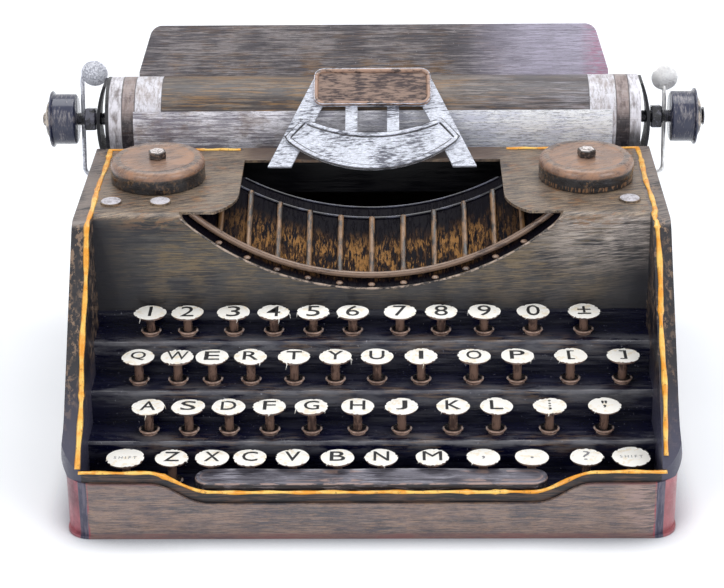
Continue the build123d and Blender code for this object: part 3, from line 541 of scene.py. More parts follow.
def bar_finish():
    """Dark grey with silver dragged along the top of the space bar."""
    paint = Paint("bar_dragged", coat=0.2)
    z = paint.axis(2)
    drag = paint.strokes((26.0, 1.4, 1.4), 0.5, 0.06, 14.0)
    scratch = paint.strokes((9.0, 0.6, 0.6), 0.26, 0.02, 12.0, 4.0)
    worn = z.band(23.1, 23.7, 0.15) * paint.noise((9.0, 9.0, 3.0), 4.0, 0.6, 3.0).rise(0.42, 0.54)
    colour = paint.layers(
        (78, 76, 86),
        (drag, (116, 114, 124)),
        (scratch * 0.6, (172, 170, 182)),
        (z.rise(23.6, 23.0), paint.mix(scratch, (22, 20, 30), (104, 98, 106))),
        (worn * 0.9, (176, 150, 142)),
    )
    return paint.finish(base_color=colour, roughness=0.28 + drag * 0.14, height=drag, depth=0.1)


def collar_finish():
    """Copper cups: the front of the lip painted bright copper and the back near black, painted light and
    shade, with painted glints at its sides.
    """
    paint = Paint("collar_copper", coat=0.3)
    front = paint.node("ShaderNodeAttribute", {"attribute_name": "front"}, out=2)
    brush = paint.strokes((3.0, 3.0, 1.5), 0.6, 0.12, 9.0)
    # Pale copper at the two sides of the lip: painted glints.
    painted_glints = front.band(-0.05, 0.3, 0.2)
    copper = paint.layers((104, 80, 70), (brush, (178, 148, 132)), (painted_glints * 0.5, (222, 208, 200)))
    # The back of the lip painted near black: painted shade.
    colour = paint.mix(front.rise(-0.45, 0.05), (16, 14, 20), copper)
    return paint.finish(base_color=colour, roughness=0.16 + brush * 0.12, height=brush, depth=0.05)


def disc_finish():
    """Silver, stippled on the left lever and almost white on the right one."""
    paint = Paint("lever_silver", roughness=0.3)
    stipple = paint.noise(1.0, 5.0, 0.75).rise(0.46, 0.6)
    bright = paint.axis(0).rise(-60.0, 60.0)
    pale = paint.mix(bright, (242, 244, 253), (255, 255, 255))
    colour = paint.mix(stipple * (1 - bright * 0.85), pale, (184, 187, 200))
    return paint.finish(base_color=colour, metallic=0.5 + bright * 0.45, height=stipple, depth=0.15)


CASING = casing_finish()
STEPS = step_finish()
BAND = band_finish()
STEM = worn_finish("stem_copper", (70, 54, 50), (122, 96, 84), 0.64, (3.0, 3.0, 9.0), gloss=0.18)
COLLAR = collar_finish()
HOLLOW = worn_finish("collar_hollow", (10, 9, 14), (58, 48, 46), 0.34, (3.0, 3.0, 1.5))
ROD = worn_finish("rod_copper", (84, 66, 58), (138, 112, 94), 0.76, (14.0, 3.0, 3.0), gloss=0.2)
RIB = worn_finish("typebar_brown", (30, 21, 18), (132, 98, 66), 0.56, (1.2, 8.0, 5.0), 0.12)
EDGE = worn_finish("edge_worn", (30, 26, 29), (176, 156, 140), 0.52, (3.0, 2.0, 2.0), 0.1)
ARC = worn_finish("arc_black", (14, 14, 26), (70, 72, 90), 0.4, (14.0, 3.0, 3.0), gloss=0.16)
SPOOL = spool_finish()
NUT = worn_finish("nut_dark", (24, 20, 24), (112, 92, 80), 0.4, (1.4, 1.4, 1.4), gloss=0.2)
# The top of each spool nut and its stud, near white: a lit copy of the dark nut paint, a painted highlight.
NUT_TOP_HIGHLIGHT = worn_finish("nut_top", (132, 118, 112), (232, 224, 222), 0.66, (1.2, 1.2, 1.2), gloss=0.2)
CARRIAGE = carriage_finish()
PLATEN = platen_finish()
BASKET = basket_finish()
GUIDE = silver_finish("guide_silver", (84, 86, 98), (234, 238, 250), 0.74, (4.4, 0.8, 0.8), 0.1)
GUIDE_WIRE = silver_finish("guide_wire", (84, 82, 90), (224, 227, 238), 0.72, (4.0, 2.0, 2.0))
# A dark ribbon beside the fan's wire border: a painted shadow.
BEAD_SHADOW = worn_finish("bead_shadow_black", (20, 19, 24), (70, 66, 72), 0.4, (4.0, 2.0, 2.0))
KNOB = worn_finish("knob_black", (42, 47, 72), (130, 126, 132), 0.24, (0.8, 4.0, 4.0), gloss=0.2)
DOME = worn_finish("knob_dome", (40, 40, 52), (190, 176, 160), 0.44, (2.2, 2.2, 2.2), metallic=0.2)
THREAD = worn_finish("thread_black", (16, 17, 26), (86, 86, 100), 0.36, (1.5, 2.0, 2.0), gloss=0.24)
LABEL = label_finish()
INK = ink_finish("legend_ink", 26)
FADED_INK = ink_finish("faded_ink", 132)
LINING = line_finish()
BAR = bar_finish()
DISC = disc_finish()
MATT = {"coat": 0.0, "specular": 0.15}
NAME_PLATE = worn_finish("name_plate_brown", (68, 58, 60), (150, 128, 116), 0.52, (5.0, 0.8, 0.8), **MATT)
NAME_RIM = worn_finish("name_rim_copper", (64, 48, 44), (166, 132, 112), 0.66, (5.0, 2.0, 2.0), gloss=0.24)
RIVET = silver_finish("rivet_silver", (160, 154, 158), (214, 211, 218), 0.8, (2.0, 2.0, 2.0))

# ---------------------------------------------------------------- building

SHARP = math.radians(40)
M4_NUT = (7.0, 3.2)
M6_NUT = (10.0, 5.0)


def turns(sides):
    """The cosine and sine of equal steps round a circle."""
    angles = [2 * math.pi * step / sides for step in range(sides)]
    return [(math.cos(angle), math.sin(angle)) for angle in angles]


class Piece:
    """A mesh put together from turned, drawn and cut shapes, each in its own finish."""

    def __init__(self, *materials):
        self.mesh = bmesh.new()
        self.materials = list(materials)

    def faces(self, rings, material, caps=(False, False)):
        """Skins a list of rings of points. A ring of one point is a pole."""
        made = [[self.mesh.verts.new(point) for point in ring] for ring in rings]
        new = []
        for first, second in zip(made, made[1:]):
            count = max(len(first), len(second))
            for here in range(count):
                after = (here + 1) % count
                if len(first) == 1:
                    corners = (first[0], second[after], second[here])
                elif len(second) == 1:
                    corners = (first[here], first[after], second[0])
                else:
                    corners = (first[here], first[after], second[after], second[here])
                new.append(self.mesh.faces.new(corners))
        for ring, wanted in ((made[0], caps[0]), (made[-1], caps[1])):
            if wanted and len(ring) > 2:
                new.append(self.mesh.faces.new(ring))
        for face in new:
            face.material_index = self.materials.index(material)
            face.smooth = True

    def turned(self, profile, base, axis, material, sides):
        """Turns a profile of (radius, height) round an axis from base."""
        axis = Vector(axis).normalized()
        across = axis.orthogonal().normalized()
        along = axis.cross(across)
        rings = []
        for radius, height in profile:
            centre = base + axis * height * MM
            ring = [centre + (across * cos + along * sin) * radius * MM for cos, sin in turns(sides)]
            rings.append(ring if radius > 0 else [centre])
        self.faces(rings, material, caps=(profile[0][0] > 0, profile[-1][0] > 0))

    def drawn(self, points, radius, material, sides, squash=1.0):
        """A wire along points. radius may be a list with one value for each point."""
        radii = radius if isinstance(radius, list) else [radius] * len(points)
        rings = []
        normal = None
        for number, point in enumerate(points):
            before = points[max(number - 1, 0)]
            after = points[min(number + 1, len(points) - 1)]
            run = (after - before).normalized()
            if normal is None:
                normal = run.orthogonal().normalized()
            normal = (normal - run * normal.dot(run)).normalized()
            side = run.cross(normal)
            reach = radii[number] * MM
            ring = []
            for cos, sin in turns(sides):
                offset = normal * cos * reach + side * sin * reach
                ring.append(point + Vector((offset.x, offset.y, offset.z * squash)))
            rings.append(ring)
        self.faces(rings, material, caps=(True, True))

    def hexagon(self, flats, thickness, base, axis, material):
        """A nut, given across its flats, with its edges taken off."""
        corner = flats / 2 / math.cos(math.pi / 6)
        edge = thickness * 0.1
        profile = [(corner * 0.9, 0), (corner, edge), (corner, thickness - edge), (corner * 0.9, thickness)]
        self.turned(profile, base, axis, material, 6)

    def take(self, mesh, matrix, material):
        """Adds a copy of a mesh, moved by a matrix."""
        vertices = [self.mesh.verts.new(matrix @ vertex.co) for vertex in mesh.vertices]
        for polygon in mesh.polygons:
            face = self.mesh.faces.new([vertices[number] for number in polygon.vertices])
            face.material_index = self.materials.index(material)

    def make(self, name, body, replaces=()):
        """Closes the piece as an object of the scene."""
        bmesh.ops.recalc_face_normals(self.mesh, faces=self.mesh.faces)
        mesh = bpy.data.meshes.new(name)
        self.mesh.to_mesh(mesh)
        self.mesh.free()
        mesh.set_sharp_from_angle(angle=SHARP)
        for material in self.materials:
            mesh.materials.append(material)
        enrol(add_object(name, mesh), body, replaces)


def as_pair(first, second):
    return first, second


def arc(centre, radius, start, end, steps, to_point=as_pair):
    """Points round an arc in degrees. to_point turns the two flat values into a place."""
    points = []
    for step in range(steps + 1):
        angle = math.radians(start + (end - start) * step / steps)
        points.append(to_point(centre[0] + radius * math.cos(angle), centre[1] + radius * math.sin(angle)))
    return points


def rounded_corner(before, corner, after, radius, steps, unit=1.0):
    """Points on a curve that starts and ends radius away from the corner it cuts off."""
    into = (before - corner).normalized() * radius * unit
    out = (after - corner).normalized() * radius * unit
    points = []
    for step in range(steps + 1):
        share = step / steps
        pull = corner * 2 * share * (1 - share)
        points.append((corner + into) * (1 - share) ** 2 + pull + (corner + out) * share**2)
    return points


def from_height(start, profile):
    """A profile whose heights are counted from start."""
    return [(radius, start + height) for radius, height in profile]


# ---------------------------------------------------------------- keys

# Each legend is a list of text, rise on the cap, height, width, ink and boldness. Plain ones are left out.
LEGENDS = {
    "plus_minus": [("±", 0.6, 7.6, 5.6, INK, 0.004)],
    "bracket_left": [("[", 0.4, 8.0, 3.0, INK, 0.004)],
    "bracket_right": [("]", 0.4, 8.0, 3.0, INK, 0.004)],
    "colon": [(":", 2.9, 3.4, 1.2, INK, 0.02), (";", -1.8, 3.8, 1.3, INK, 0.02)],
    "quote": [("\"", 2.8, 2.4, 2.4, INK, 0.02), (",", -0.8, 2.4, 1.2, INK, 0.02)],
    "comma": [(",", -0.6, 2.4, 1.3, FADED_INK, 0.0)],
    "period": [(".", -0.6, 1.3, 1.3, FADED_INK, 0.0)],
    "question": [("?", 0.8, 7.2, 3.2, FADED_INK, -0.014)],
    "i": [("I", 0.9, 7.4, 1.9, INK, 0.0)],
    "m": [("M", 0.9, 7.6, 8.0, INK, 0.0)],
    "w": [("W", 0.9, 7.6, 9.0, INK, 0.0)],
    "1": [("1", 0.8, 9.4, 1.3, INK, -0.004)],
    "f": [("F", 0.8, 7.8, 5.2, INK, 0.004)],
    "j": [("J", 0.8, 7.8, 4.8, INK, 0.004)],
    "l": [("L", 0.8, 7.8, 5.4, INK, 0.006)],
}
PLAIN_DIGIT = (0.6, 9.8, 5.7, INK, 0.002)
PLAIN_LETTER = (0.8, 7.8, 6.4, INK, 0.008)
SHIFT_LEGEND = (2.1, 9.4, FADED_INK)
INK_DROP = Vector((0, 0, -0.02))
SHIFT_SEEDS = (5, 8)
STEM_RADIUS = 1.9
KEY_RISE = 12.3
TOP_ROW_RISE = 10.2
# Caps higher than the first stand in the top row, and caps lower than the second over the space bar.
TOP_ROW_ABOVE = 66
SPACE_BAR_ROW_BELOW = 35


def lettering(text, bold):
    """A flat mesh of some text, with its middle and its size."""
    curve = bpy.data.curves.new("lettering", "FONT")
    curve.body = text
    curve.align_x = "CENTER"
    curve.offset = bold
    curve.resolution_u = 3
    holder = add_object("lettering", curve)
    graph = bpy.context.evaluated_depsgraph_get()
    mesh = bpy.data.meshes.new_from_object(holder.evaluated_get(graph))
    bpy.data.objects.remove(holder)
    bpy.data.curves.remove(curve)
    xs = [vertex.co.x for vertex in mesh.vertices]
    ys = [vertex.co.y for vertex in mesh.vertices]
    shift = Vector(((min(xs) + max(xs)) / 2, (min(ys) + max(ys)) / 2, 0))
    return mesh, shift, Vector((max(xs) - min(xs), max(ys) - min(ys)))


def write(piece, text, centre, height, width, ink, bold=0.0):
    """Writes text of a given height and width, in millimetres."""
    mesh, shift, size = lettering(text, bold)
    grow = Matrix.Diagonal((width * MM / size.x, height * MM / size.y, 1, 1))
    piece.take(mesh, Matrix.Translation(centre) @ grow @ Matrix.Translation(-shift), ink)
    bpy.data.meshes.remove(mesh)


def ragged_label(piece, centre, radius, seed):
    """A hand-cut paper disc that curls a little at its edge."""
    chance = random.Random(seed)
    orders = (2, 3, 5, 8, 13, 19)
    waves = [(chance.uniform(0.2, 0.9) / order, chance.uniform(0, 6.28), order) for order in orders]
    tilt = Vector((chance.uniform(-0.014, 0.014), chance.uniform(-0.02, 0.02)))
    sides = 56
    cover = 0.97
    raggedness, most_ragged = 0.034, 0.03
    nick_depth, nick_chance = 0.07, 0.12
    curl_height = 0.18

    def point(angle, share, lift):
        ragged = sum(size * math.sin(order * angle + phase) for size, phase, order in waves) * raggedness
        nick = nick_depth if chance.random() < nick_chance and share > cover else 0.0
        reach = radius * share * (cover + min(ragged - nick, most_ragged) * share**3)
        flat = Vector((math.cos(angle), math.sin(angle)))
        curl = curl_height * math.sin(3 * angle + waves[1][1]) * share**4
        height = lift + curl * 0.6 + reach * flat.dot(tilt)
        return centre + Vector((flat.x * reach, flat.y * reach, height)) * MM

    def ring(share, lift):
        state = chance.getstate()
        made = [point(2 * math.pi * step / sides, share, lift) for step in range(sides)]
        chance.setstate(state)
        return made

    under = [[centre + Vector((0, 0, -0.28 * MM))], ring(0.6, -0.3), ring(1.0, -0.34)]
    over = [ring(1.0, -0.2), ring(0.8, -0.14), ring(0.4, -0.12), [centre + Vector((0, 0, -0.12 * MM))]]
    piece.faces(under + over, LABEL)


def torn_bits(piece, centre, radius, seed):
    """Slivers of torn paper and strands of glue past a label. Over the space bar they hang less."""
    most_fall = 2.8
    longest = most_fall if centre.z > SPACE_BAR_ROW_BELOW * MM else 0.9
    taper = [0.34, 0.26, 0.2, 0.13, 0.05]
    chance = random.Random(seed * 7 + 3)
    for _ in range(chance.choice((1, 2, 2, 3))):
        angle = chance.uniform(0, 2 * math.pi)
        outward = Vector((math.cos(angle), math.sin(angle), 0))
        sideways = Vector((-math.sin(angle), math.cos(angle), 0))
        start = centre + outward * radius * 0.93 * MM
        length = chance.uniform(0.4, 0.9)
        fall = max(chance.uniform(-most_fall, 0.0), -longest)
        points = []
        for step in range(len(taper)):
            share = step / (len(taper) - 1)
            out = outward * length * share
            bend = sideways * math.sin(share * 3) * 0.5
            points.append(start + (out + bend + Vector((0, 0, fall * share**2 - 0.25))) * MM)
        piece.drawn(points, [size * chance.uniform(0.6, 1.3) for size in taper], LABEL, 5, squash=0.5)


def add_key(piece, x, y, foot, top, radius, seed):
    """A stem, its cap, and the paper on it. Gives the middle of the top."""
    z = top - 1.55
    stem = [(STEM_RADIUS, foot), (STEM_RADIUS, z - 0.5), (2.3, z)]
    cap = [(2.0, z), (radius - 1.3, z), (radius - 0.8, z + 0.3), (radius - 0.7, z + 0.8)]
    cap += [(radius - 0.8, z + 1.1), (0, z + 1.15)]
    piece.turned(stem, place(x, y, 0), UP, STEM, 20)
    piece.turned(cap, place(x, y, 0), UP, STEM, 40)
    centre = place(x, y, top)
    ragged_label(piece, centre, radius, seed)
    torn_bits(piece, centre, radius, seed)
    return centre


def make_key(node):
    """One round key in place of its CAD node, with its legend."""
    x, y, foot, top, radius, _ = measured(node)
    name = node.removeprefix("key_")
    seed = sum(ord(letter) * (number + 3) for number, letter in enumerate(name))
    piece = Piece(STEM, LABEL, INK, FADED_INK)
    centre = add_key(piece, x, y, foot, top, radius, seed)
    plain = (name.upper(), *(PLAIN_DIGIT if name.isdigit() else PLAIN_LETTER))
    for text, rise, height, width, ink, bold in LEGENDS.get(name, [plain]):
        write(piece, text, centre + Vector((0, rise, INK_DROP.z)) * MM, height, width, ink, bold)
    piece.make(f"{node}_piece", BODY_OF[node], [node])


def make_shift_keys():
    """The SHIFT keys at both ends of the bottom row, which move as one."""
    low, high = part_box("shift_keys")
    _, y, foot, top, _, radius = measured("shift_keys")
    piece = Piece(STEM, LABEL, FADED_INK)
    for seed, x in zip(SHIFT_SEEDS, (low.x / MM + radius, high.x / MM - radius)):
        centre = add_key(piece, x, y, foot, top, radius, seed)
        write(piece, "S H I F T", centre + INK_DROP * MM, *SHIFT_LEGEND)
    piece.make("shift_caps", BODY_OF["shift_keys"], ["shift_keys"])


for key_node in KEYS:
    make_key(key_node)
make_shift_keys()

# ---------------------------------------------------------------- repeated pieces


class Layout:
    """A Geometry Nodes tree with named sizes, baked to a plain mesh when it is made."""

    def __init__(self, name, **sizes):
        self.tree = bpy.data.node_groups.new(name, "GeometryNodeTree")
        self.tree.interface.new_socket("Geometry", in_out="INPUT", socket_type="NodeSocketGeometry")
        self.sizes = sizes
        for label, value in sizes.items():
            kind = "NodeSocketInt" if isinstance(value, int) else "NodeSocketFloat"
            self.tree.interface.new_socket(label, in_out="INPUT", socket_type=kind)
        self.tree.interface.new_socket("Geometry", in_out="OUTPUT", socket_type="NodeSocketGeometry")
        self.group_in = self.tree.nodes.new("NodeGroupInput")

    def size(self, label):
        return self.group_in.outputs[label]

    def metres(self, label, share=1.0):
        """A size of the tree, or a share of it, in Blender's unit."""
        return self.math("MULTIPLY", self.size(label), share * MM)

    def node(self, kind, settings=None, out=0, **inputs):
        """Adds a node; inputs are given by socket name, with spaces as underscores."""
        node = self.tree.nodes.new(kind)
        for key, value in (settings or {}).items():
            setattr(node, key, value)
        for label, value in inputs.items():
            number = int(label[1:]) if label[0] == "i" and label[1:].isdigit() else None
            socket = node.inputs[number] if number is not None else node.inputs[label.replace("_", " ")]
            if isinstance(value, bpy.types.NodeSocket):
                self.tree.links.new(value, socket)
            else:
                socket.default_value = value
        return node.outputs[out]

    def math(self, operation, first, second=0.0):
        return self.node("ShaderNodeMath", {"operation": operation}, i0=first, i1=second)

    def vector(self, x=0.0, y=0.0, z=0.0):
        return self.node("ShaderNodeCombineXYZ", i0=x, i1=y, i2=z)

    def circle(self, sides, radius):
        return self.node("GeometryNodeCurvePrimitiveCircle", Resolution=sides, Radius=radius)

    def swept(self, path, section, **inputs):
        return self.node("GeometryNodeCurveToMesh", Curve=path, Profile_Curve=section, **inputs)

    def raised(self, geometry, height):
        return self.node("GeometryNodeTransform", Geometry=geometry, Translation=self.vector(z=height))

    def flattened(self, geometry, share):
        return self.node("GeometryNodeTransform", Geometry=geometry, Scale=self.vector(1.0, 1.0, share))

    def on_points(self, geometry, **inputs):
        start = self.group_in.outputs["Geometry"]
        return self.node("GeometryNodeInstanceOnPoints", Points=start, Instance=geometry, **inputs)

    def bake(self, name, geometry, material, points, body, replaces=()):
        """Runs the tree on some points and keeps what comes out as a plain mesh."""
        real = self.node("GeometryNodeRealizeInstances", i0=geometry)
        painted = self.node("GeometryNodeSetMaterial", i0=real, Material=material)
        group_out = self.tree.nodes.new("NodeGroupOutput")
        self.tree.links.new(painted, group_out.inputs[0])
        mesh = bpy.data.meshes.new(name)
        mesh.from_pydata(points, [], [])
        holder = add_object(name, mesh)
        modifier = holder.modifiers.new(name, "NODES")
        modifier.node_group = self.tree
        for item in self.tree.interface.items_tree:
            if item.in_out == "INPUT" and item.name in self.sizes:
                modifier[item.identifier] = self.sizes[item.name]
        graph = bpy.context.evaluated_depsgraph_get()
        made = bpy.data.meshes.new_from_object(holder.evaluated_get(graph))
        holder.modifiers.clear()
        holder.data = made
        bpy.data.meshes.remove(mesh)
        bpy.data.node_groups.remove(self.tree)
        shell = bmesh.new()
        shell.from_mesh(made)
        bmesh.ops.remove_doubles(shell, verts=shell.verts, dist=0.002 * MM)
        bmesh.ops.recalc_face_normals(shell, faces=shell.faces)
        for face in shell.faces:
            face.smooth = True
        shell.to_mesh(made)
        shell.free()
        made.set_sharp_from_angle(angle=SHARP)
        enrol(holder, body, replaces)


def key_places():
    """The middle of each key's stem where it meets its tread."""
    points = []
    for node in KEYS:
        low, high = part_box(node)
        rise = TOP_ROW_RISE if high.z > TOP_ROW_ABOVE * MM else KEY_RISE
        points.append(((low.x + high.x) / 2, (low.y + high.y) / 2, high.z - rise * MM))
    low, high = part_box("shift_keys")
    radius = (high.y - low.y) / 2
    y = (low.y + high.y) / 2
    points += [(x, y, high.z - KEY_RISE * MM) for x in (low.x + radius, high.x - radius)]
    return points


def make_collars():
    """A cup at the foot of each key's stem, open upward, with a beaded rim."""
    layout = Layout("key_collars", Foot=3.3, Waist=3.2, Rim=3.9, Hole=2.0, Height=1.7, Bead=0.48, Sides=24)

    def cone(bottom, top, low, high, fill="NONE"):
        made = layout.node(
            "GeometryNodeMeshCone",
            {"fill_type": fill},
            Vertices=layout.size("Sides"),
            Radius_Bottom=layout.metres(bottom),
            Radius_Top=layout.metres(top),
            Depth=layout.metres("Height", high - low),
        )
        return layout.raised(made, layout.metres("Height", low))

    cup = [cone("Waist", "Rim", 0.3, 1.0), cone("Hole", "Rim", 0.5, 1.0), cone("Waist", "Hole", 0.3, 0.5)]
    foot = cone("Foot", "Foot", 0.0, 0.3, "NGON")
    rim_circle = layout.circle(layout.size("Sides"), layout.metres("Rim"))
    bead = layout.swept(rim_circle, layout.circle(10, layout.metres("Bead")))
    join = layout.tree.nodes.new("GeometryNodeJoinGeometry")
    for part in (*cup, foot, layout.raised(bead, layout.metres("Height"))):
        layout.tree.links.new(part, join.inputs[0])
    # front: how far towards the front each point of the cup lies, for the painted light and shade on its lip.
    back = layout.node("ShaderNodeSeparateXYZ", out=1, Vector=layout.node("GeometryNodeInputPosition"))
    front = layout.math("DIVIDE", layout.math("MULTIPLY", back, -1.0), layout.metres("Rim"))
    marked = layout.node(
        "GeometryNodeStoreNamedAttribute",
        {"data_type": "FLOAT", "domain": "POINT"},
        Geometry=join.outputs[0],
        Name="front",
        Value=front,
    )
    placed = layout.on_points(marked)
    points = key_places()
    layout.bake("stem_collars", placed, COLLAR, points, BODY_OF["key_guides"], ["key_guides"])


def make_hollows():
    """The dark bottom inside each cup."""
    layout = Layout("collar_hollows", Radius=3.6, Depth=0.3, Rise=1.62, Sides=24)
    disc = layout.node(
        "GeometryNodeMeshCylinder",
        {"fill_type": "NGON"},
        Vertices=layout.size("Sides"),
        Radius=layout.metres("Radius"),
        Depth=layout.metres("Depth"),
    )
    placed = layout.on_points(layout.raised(disc, layout.metres("Rise")))
    layout.bake("collar_hollows", placed, HOLLOW, key_places(), BODY_OF["key_guides"])


make_collars()
make_hollows()

CRESCENT_Z = 191.5
BASKET_RADIUS = 116.0
BASKET_SLOPE = math.radians(22)
WALL_BACK = 79.1
TYPEBARS = 11
TYPEBAR_PITCH = 6.8


def basket_rise(y):
    """How far the basket's sheet has climbed at y."""
    return (y - WALL_BACK) * math.tan(BASKET_SLOPE)


def basket_face(angle, y, lift=0.0):
    """A place over the basket's rolled sheet: angle is round it from its middle, y is how far back."""
    turn = math.radians(angle)
    flat, steep = math.cos(BASKET_SLOPE), math.sin(BASKET_SLOPE)
    tilt = Vector((-math.sin(turn), -math.cos(turn) * steep, math.cos(turn) * flat))
    height = CRESCENT_Z - BASKET_RADIUS * math.cos(turn) + basket_rise(y)
    spot = Vector((BASKET_RADIUS * math.sin(turn), y + FRONT_Y, height))
    return (spot + tilt * lift) * MM


def typebar_places(y, lift):
    middle = (TYPEBARS - 1) / 2
    return [basket_face((number - middle) * TYPEBAR_PITCH, y, lift) for number in range(TYPEBARS)]


def make_typebars():
    """Half-round ribs fanned across the basket. The outer two stop short, under the deck."""
    sizes = {"Length": 33.6, "Short": 0.68, "Width": 2.5, "Height": 1.8, "Tilt": 22.0}
    layout = Layout("typebar_fan", **sizes, Pitch=TYPEBAR_PITCH, Count=TYPEBARS)
    line = "GeometryNodeCurvePrimitiveLine"
    rib_line = layout.node(line, Start=(0.0, 0.0, 0.0), End=layout.vector(y=layout.metres("Length")))
    bar = layout.swept(rib_line, layout.circle(12, layout.metres("Width", 0.5)), Fill_Caps=True)
    low = layout.flattened(bar, layout.math("DIVIDE", layout.size("Height"), layout.size("Width")))
    index = layout.node("GeometryNodeInputIndex")
    middle = layout.math("MULTIPLY", layout.math("SUBTRACT", layout.size("Count"), 1.0), 0.5)
    from_middle = layout.math("SUBTRACT", index, middle)
    inner_reach = layout.math("SUBTRACT", middle, 0.5)
    inner = layout.math("LESS_THAN", layout.math("ABSOLUTE", from_middle), inner_reach)
    placed = layout.on_points(
        low,
        Rotation=layout.vector(x=layout.math("RADIANS", layout.size("Tilt"))),
        Scale=layout.vector(1.0, layout.math("MAXIMUM", inner, layout.size("Short")), 1.0),
    )
    turn = layout.math("MULTIPLY", from_middle, layout.size("Pitch"))
    rolled = layout.node(
        "GeometryNodeRotateInstances",
        Instances=placed,
        Rotation=layout.vector(y=layout.math("RADIANS", layout.math("MULTIPLY", turn, -1.0))),
        Local_Space=True,
    )
    points = typebar_places(87.0, 0.9)
    layout.bake("typebar_ribs", rolled, RIB, points, BODY_OF["typebars"], ["typebars"])


def make_foot_rivets():
    """Small domed rivets along the front of the basket."""
    layout = Layout("foot_rivets", Radius=1.55, Flatness=0.5)
    ball = layout.node("GeometryNodeMeshUVSphere", Segments=14, Rings=8, Radius=layout.metres("Radius"))
    placed = layout.on_points(layout.flattened(ball, layout.size("Flatness")))
    points = typebar_places(81.4, 0.35)
    layout.bake("foot_rivet_heads", placed, ROD, points, BODY_OF["typebars"])


make_typebars()
make_foot_rivets()

# ---------------------------------------------------------------- type basket and well

ARC_BOTTOM = 270


def make_basket_wires():
    """The guard rod, and two thin wires that edge the back of the basket."""
    rod_y = 84.6
    rod_bend = 115.0
    rod_reach = 41.6
    rod_radius = 1.45
    back_wires = ((118.6, 0.55), (124.6, 0.4))
    back_edge_z = 108.2
    piece = Piece(ROD, ARC)

    def at_rod(x, z):
        return place(x, rod_y, z)

    ends = (ARC_BOTTOM - rod_reach, ARC_BOTTOM + rod_reach)
    rod = arc((0.0, CRESCENT_Z + 3.2), rod_bend, *ends, 60, at_rod)
    piece.drawn(rod, rod_radius, ROD, 16)
    for y, radius in back_wires:
        half = math.degrees(math.acos((CRESCENT_Z - back_edge_z + basket_rise(y)) / BASKET_RADIUS))
        piece.drawn([basket_face(half * (step / 30 - 1), y, 0.4) for step in range(61)], radius, ARC, 8)
    piece.make("basket_wires", BODY_OF["type_basket"])


def make_crescent_edge():
    """The worn cut edge of the crescent, in the front wall."""
    cut_radius = 115.0
    cut_top = 109.3
    wall_y = 77.95
    steps = 90
    piece = Piece(EDGE)
    half = math.degrees(math.acos((CRESCENT_Z - cut_top) / cut_radius))

    def at_wall(x, z):
        return place(x, wall_y, z)

    points = arc((0.0, CRESCENT_Z), cut_radius + 0.1, ARC_BOTTOM - half, ARC_BOTTOM + half, steps, at_wall)
    sizes = [0.42 + 0.12 * math.sin(step * 1.7) * math.sin(step * 0.6) for step in range(steps + 1)]
    piece.drawn(points, sizes, EDGE, 6)
    piece.make("crescent_edge", BODY_OF["housing"])


make_basket_wires()
make_crescent_edge()

# ---------------------------------------------------------------- yellow lining

RIM_FOOT = (3.0, 31.0)
RIM_SLOPE = math.radians(48.7)
RIM_CROWN_RADIUS = 9.0
RIM_BACK = 154.6
LINE_LIFT = 0.2


def rim_points():
    """The rim's outline from its foot to the back of the deck, as y and z."""
    run = (DECK - RIM_FOOT[1]) / math.tan(RIM_SLOPE)
    cut = RIM_CROWN_RADIUS * math.tan(RIM_SLOPE / 2)
    crown_y = RIM_FOOT[0] + run
    start = (crown_y - cut * math.cos(RIM_SLOPE), DECK - cut * math.sin(RIM_SLOPE))
    end = (crown_y + cut, DECK)
    centre = (end[0], DECK - RIM_CROWN_RADIUS)
    points = []
    for step in range(41):
        share = step / 40
        y = RIM_FOOT[0] + (start[0] - RIM_FOOT[0]) * share
        points.append((y, RIM_FOOT[1] + (start[1] - RIM_FOOT[1]) * share))
    for step in range(1, 9):
        angle = math.pi / 2 + RIM_SLOPE * (1 - step / 8)
        y = centre[0] + RIM_CROWN_RADIUS * math.cos(angle)
        points.append((y, centre[1] + RIM_CROWN_RADIUS * math.sin(angle)))
    for step in range(1, 31):
        points.append((end[0] + (RIM_BACK - end[0]) * step / 30, DECK))
    return points


def sill_height(x):
    """The top of the housing's front wall over the base band: low in the middle, then up to the ends."""
    dip_half, ramp, dip_z, climb, wall = 65.0, 26.0, 16.3, 9.2, 4.2
    share = min(max((abs(x) - dip_half) / ramp, 0.0), 1.0)
    smooth = share * share * (3 - 2 * share)
    return dip_z + climb * smooth + wall


def lining(piece, points, seed, size=1.05):
    """A bead of thick paint that swells, thins and wanders a little."""
    chance = random.Random(seed)
    phases = [chance.uniform(0, 6.28) for _ in range(4)]
    sizes = []
    for number in range(len(points)):
        swell = 0.16 * math.sin(number * 0.9 + phases[0]) + 0.12 * math.sin(number * 0.37 + phases[1])
        blob = 0.45 if chance.random() < 0.04 else 0.0
        sizes.append(size * (1 + swell + blob))
    piece.drawn(points, sizes, LINING, 8, squash=0.6)


def make_lining():
    """The yellow lines: up each rim, along the back of each, and over the base band."""
    piece = Piece(LINING)
    for side, line_x, skipped in ((-1, 118.4, 0), (1, 119.4, 2)):
        drift = random.Random(side + 4).uniform(0, 6.28)
        points = []
        for number, (y, z) in enumerate(rim_points()):
            wander = 0.28 * math.sin(number * 0.31 + drift)
            if side > 0 and 44 < number < 50:
                wander -= 0.7
            points.append(place(side * (line_x + wander), y, z + LINE_LIFT))
        lining(piece, points[skipped:], side + 9)
        back = []
        for step in range(32):
            x = side * (line_x - step * 1.9)
            back.append(place(x, RIM_BACK + 0.2 * math.sin(step), DECK + LINE_LIFT))
        lining(piece, back, side + 12, 0.85)
    front_start, front_run, front_y = -118.2, 237.4, 1.9
    front = []
    for step in range(125):
        x = front_start + front_run * step / 124
        front.append(place(x, front_y, sill_height(x) + 0.35 + 0.12 * math.sin(step * 0.5)))
    lining(piece, front, 30, 0.95)
    piece.make("yellow_lining", BODY_OF["housing"])


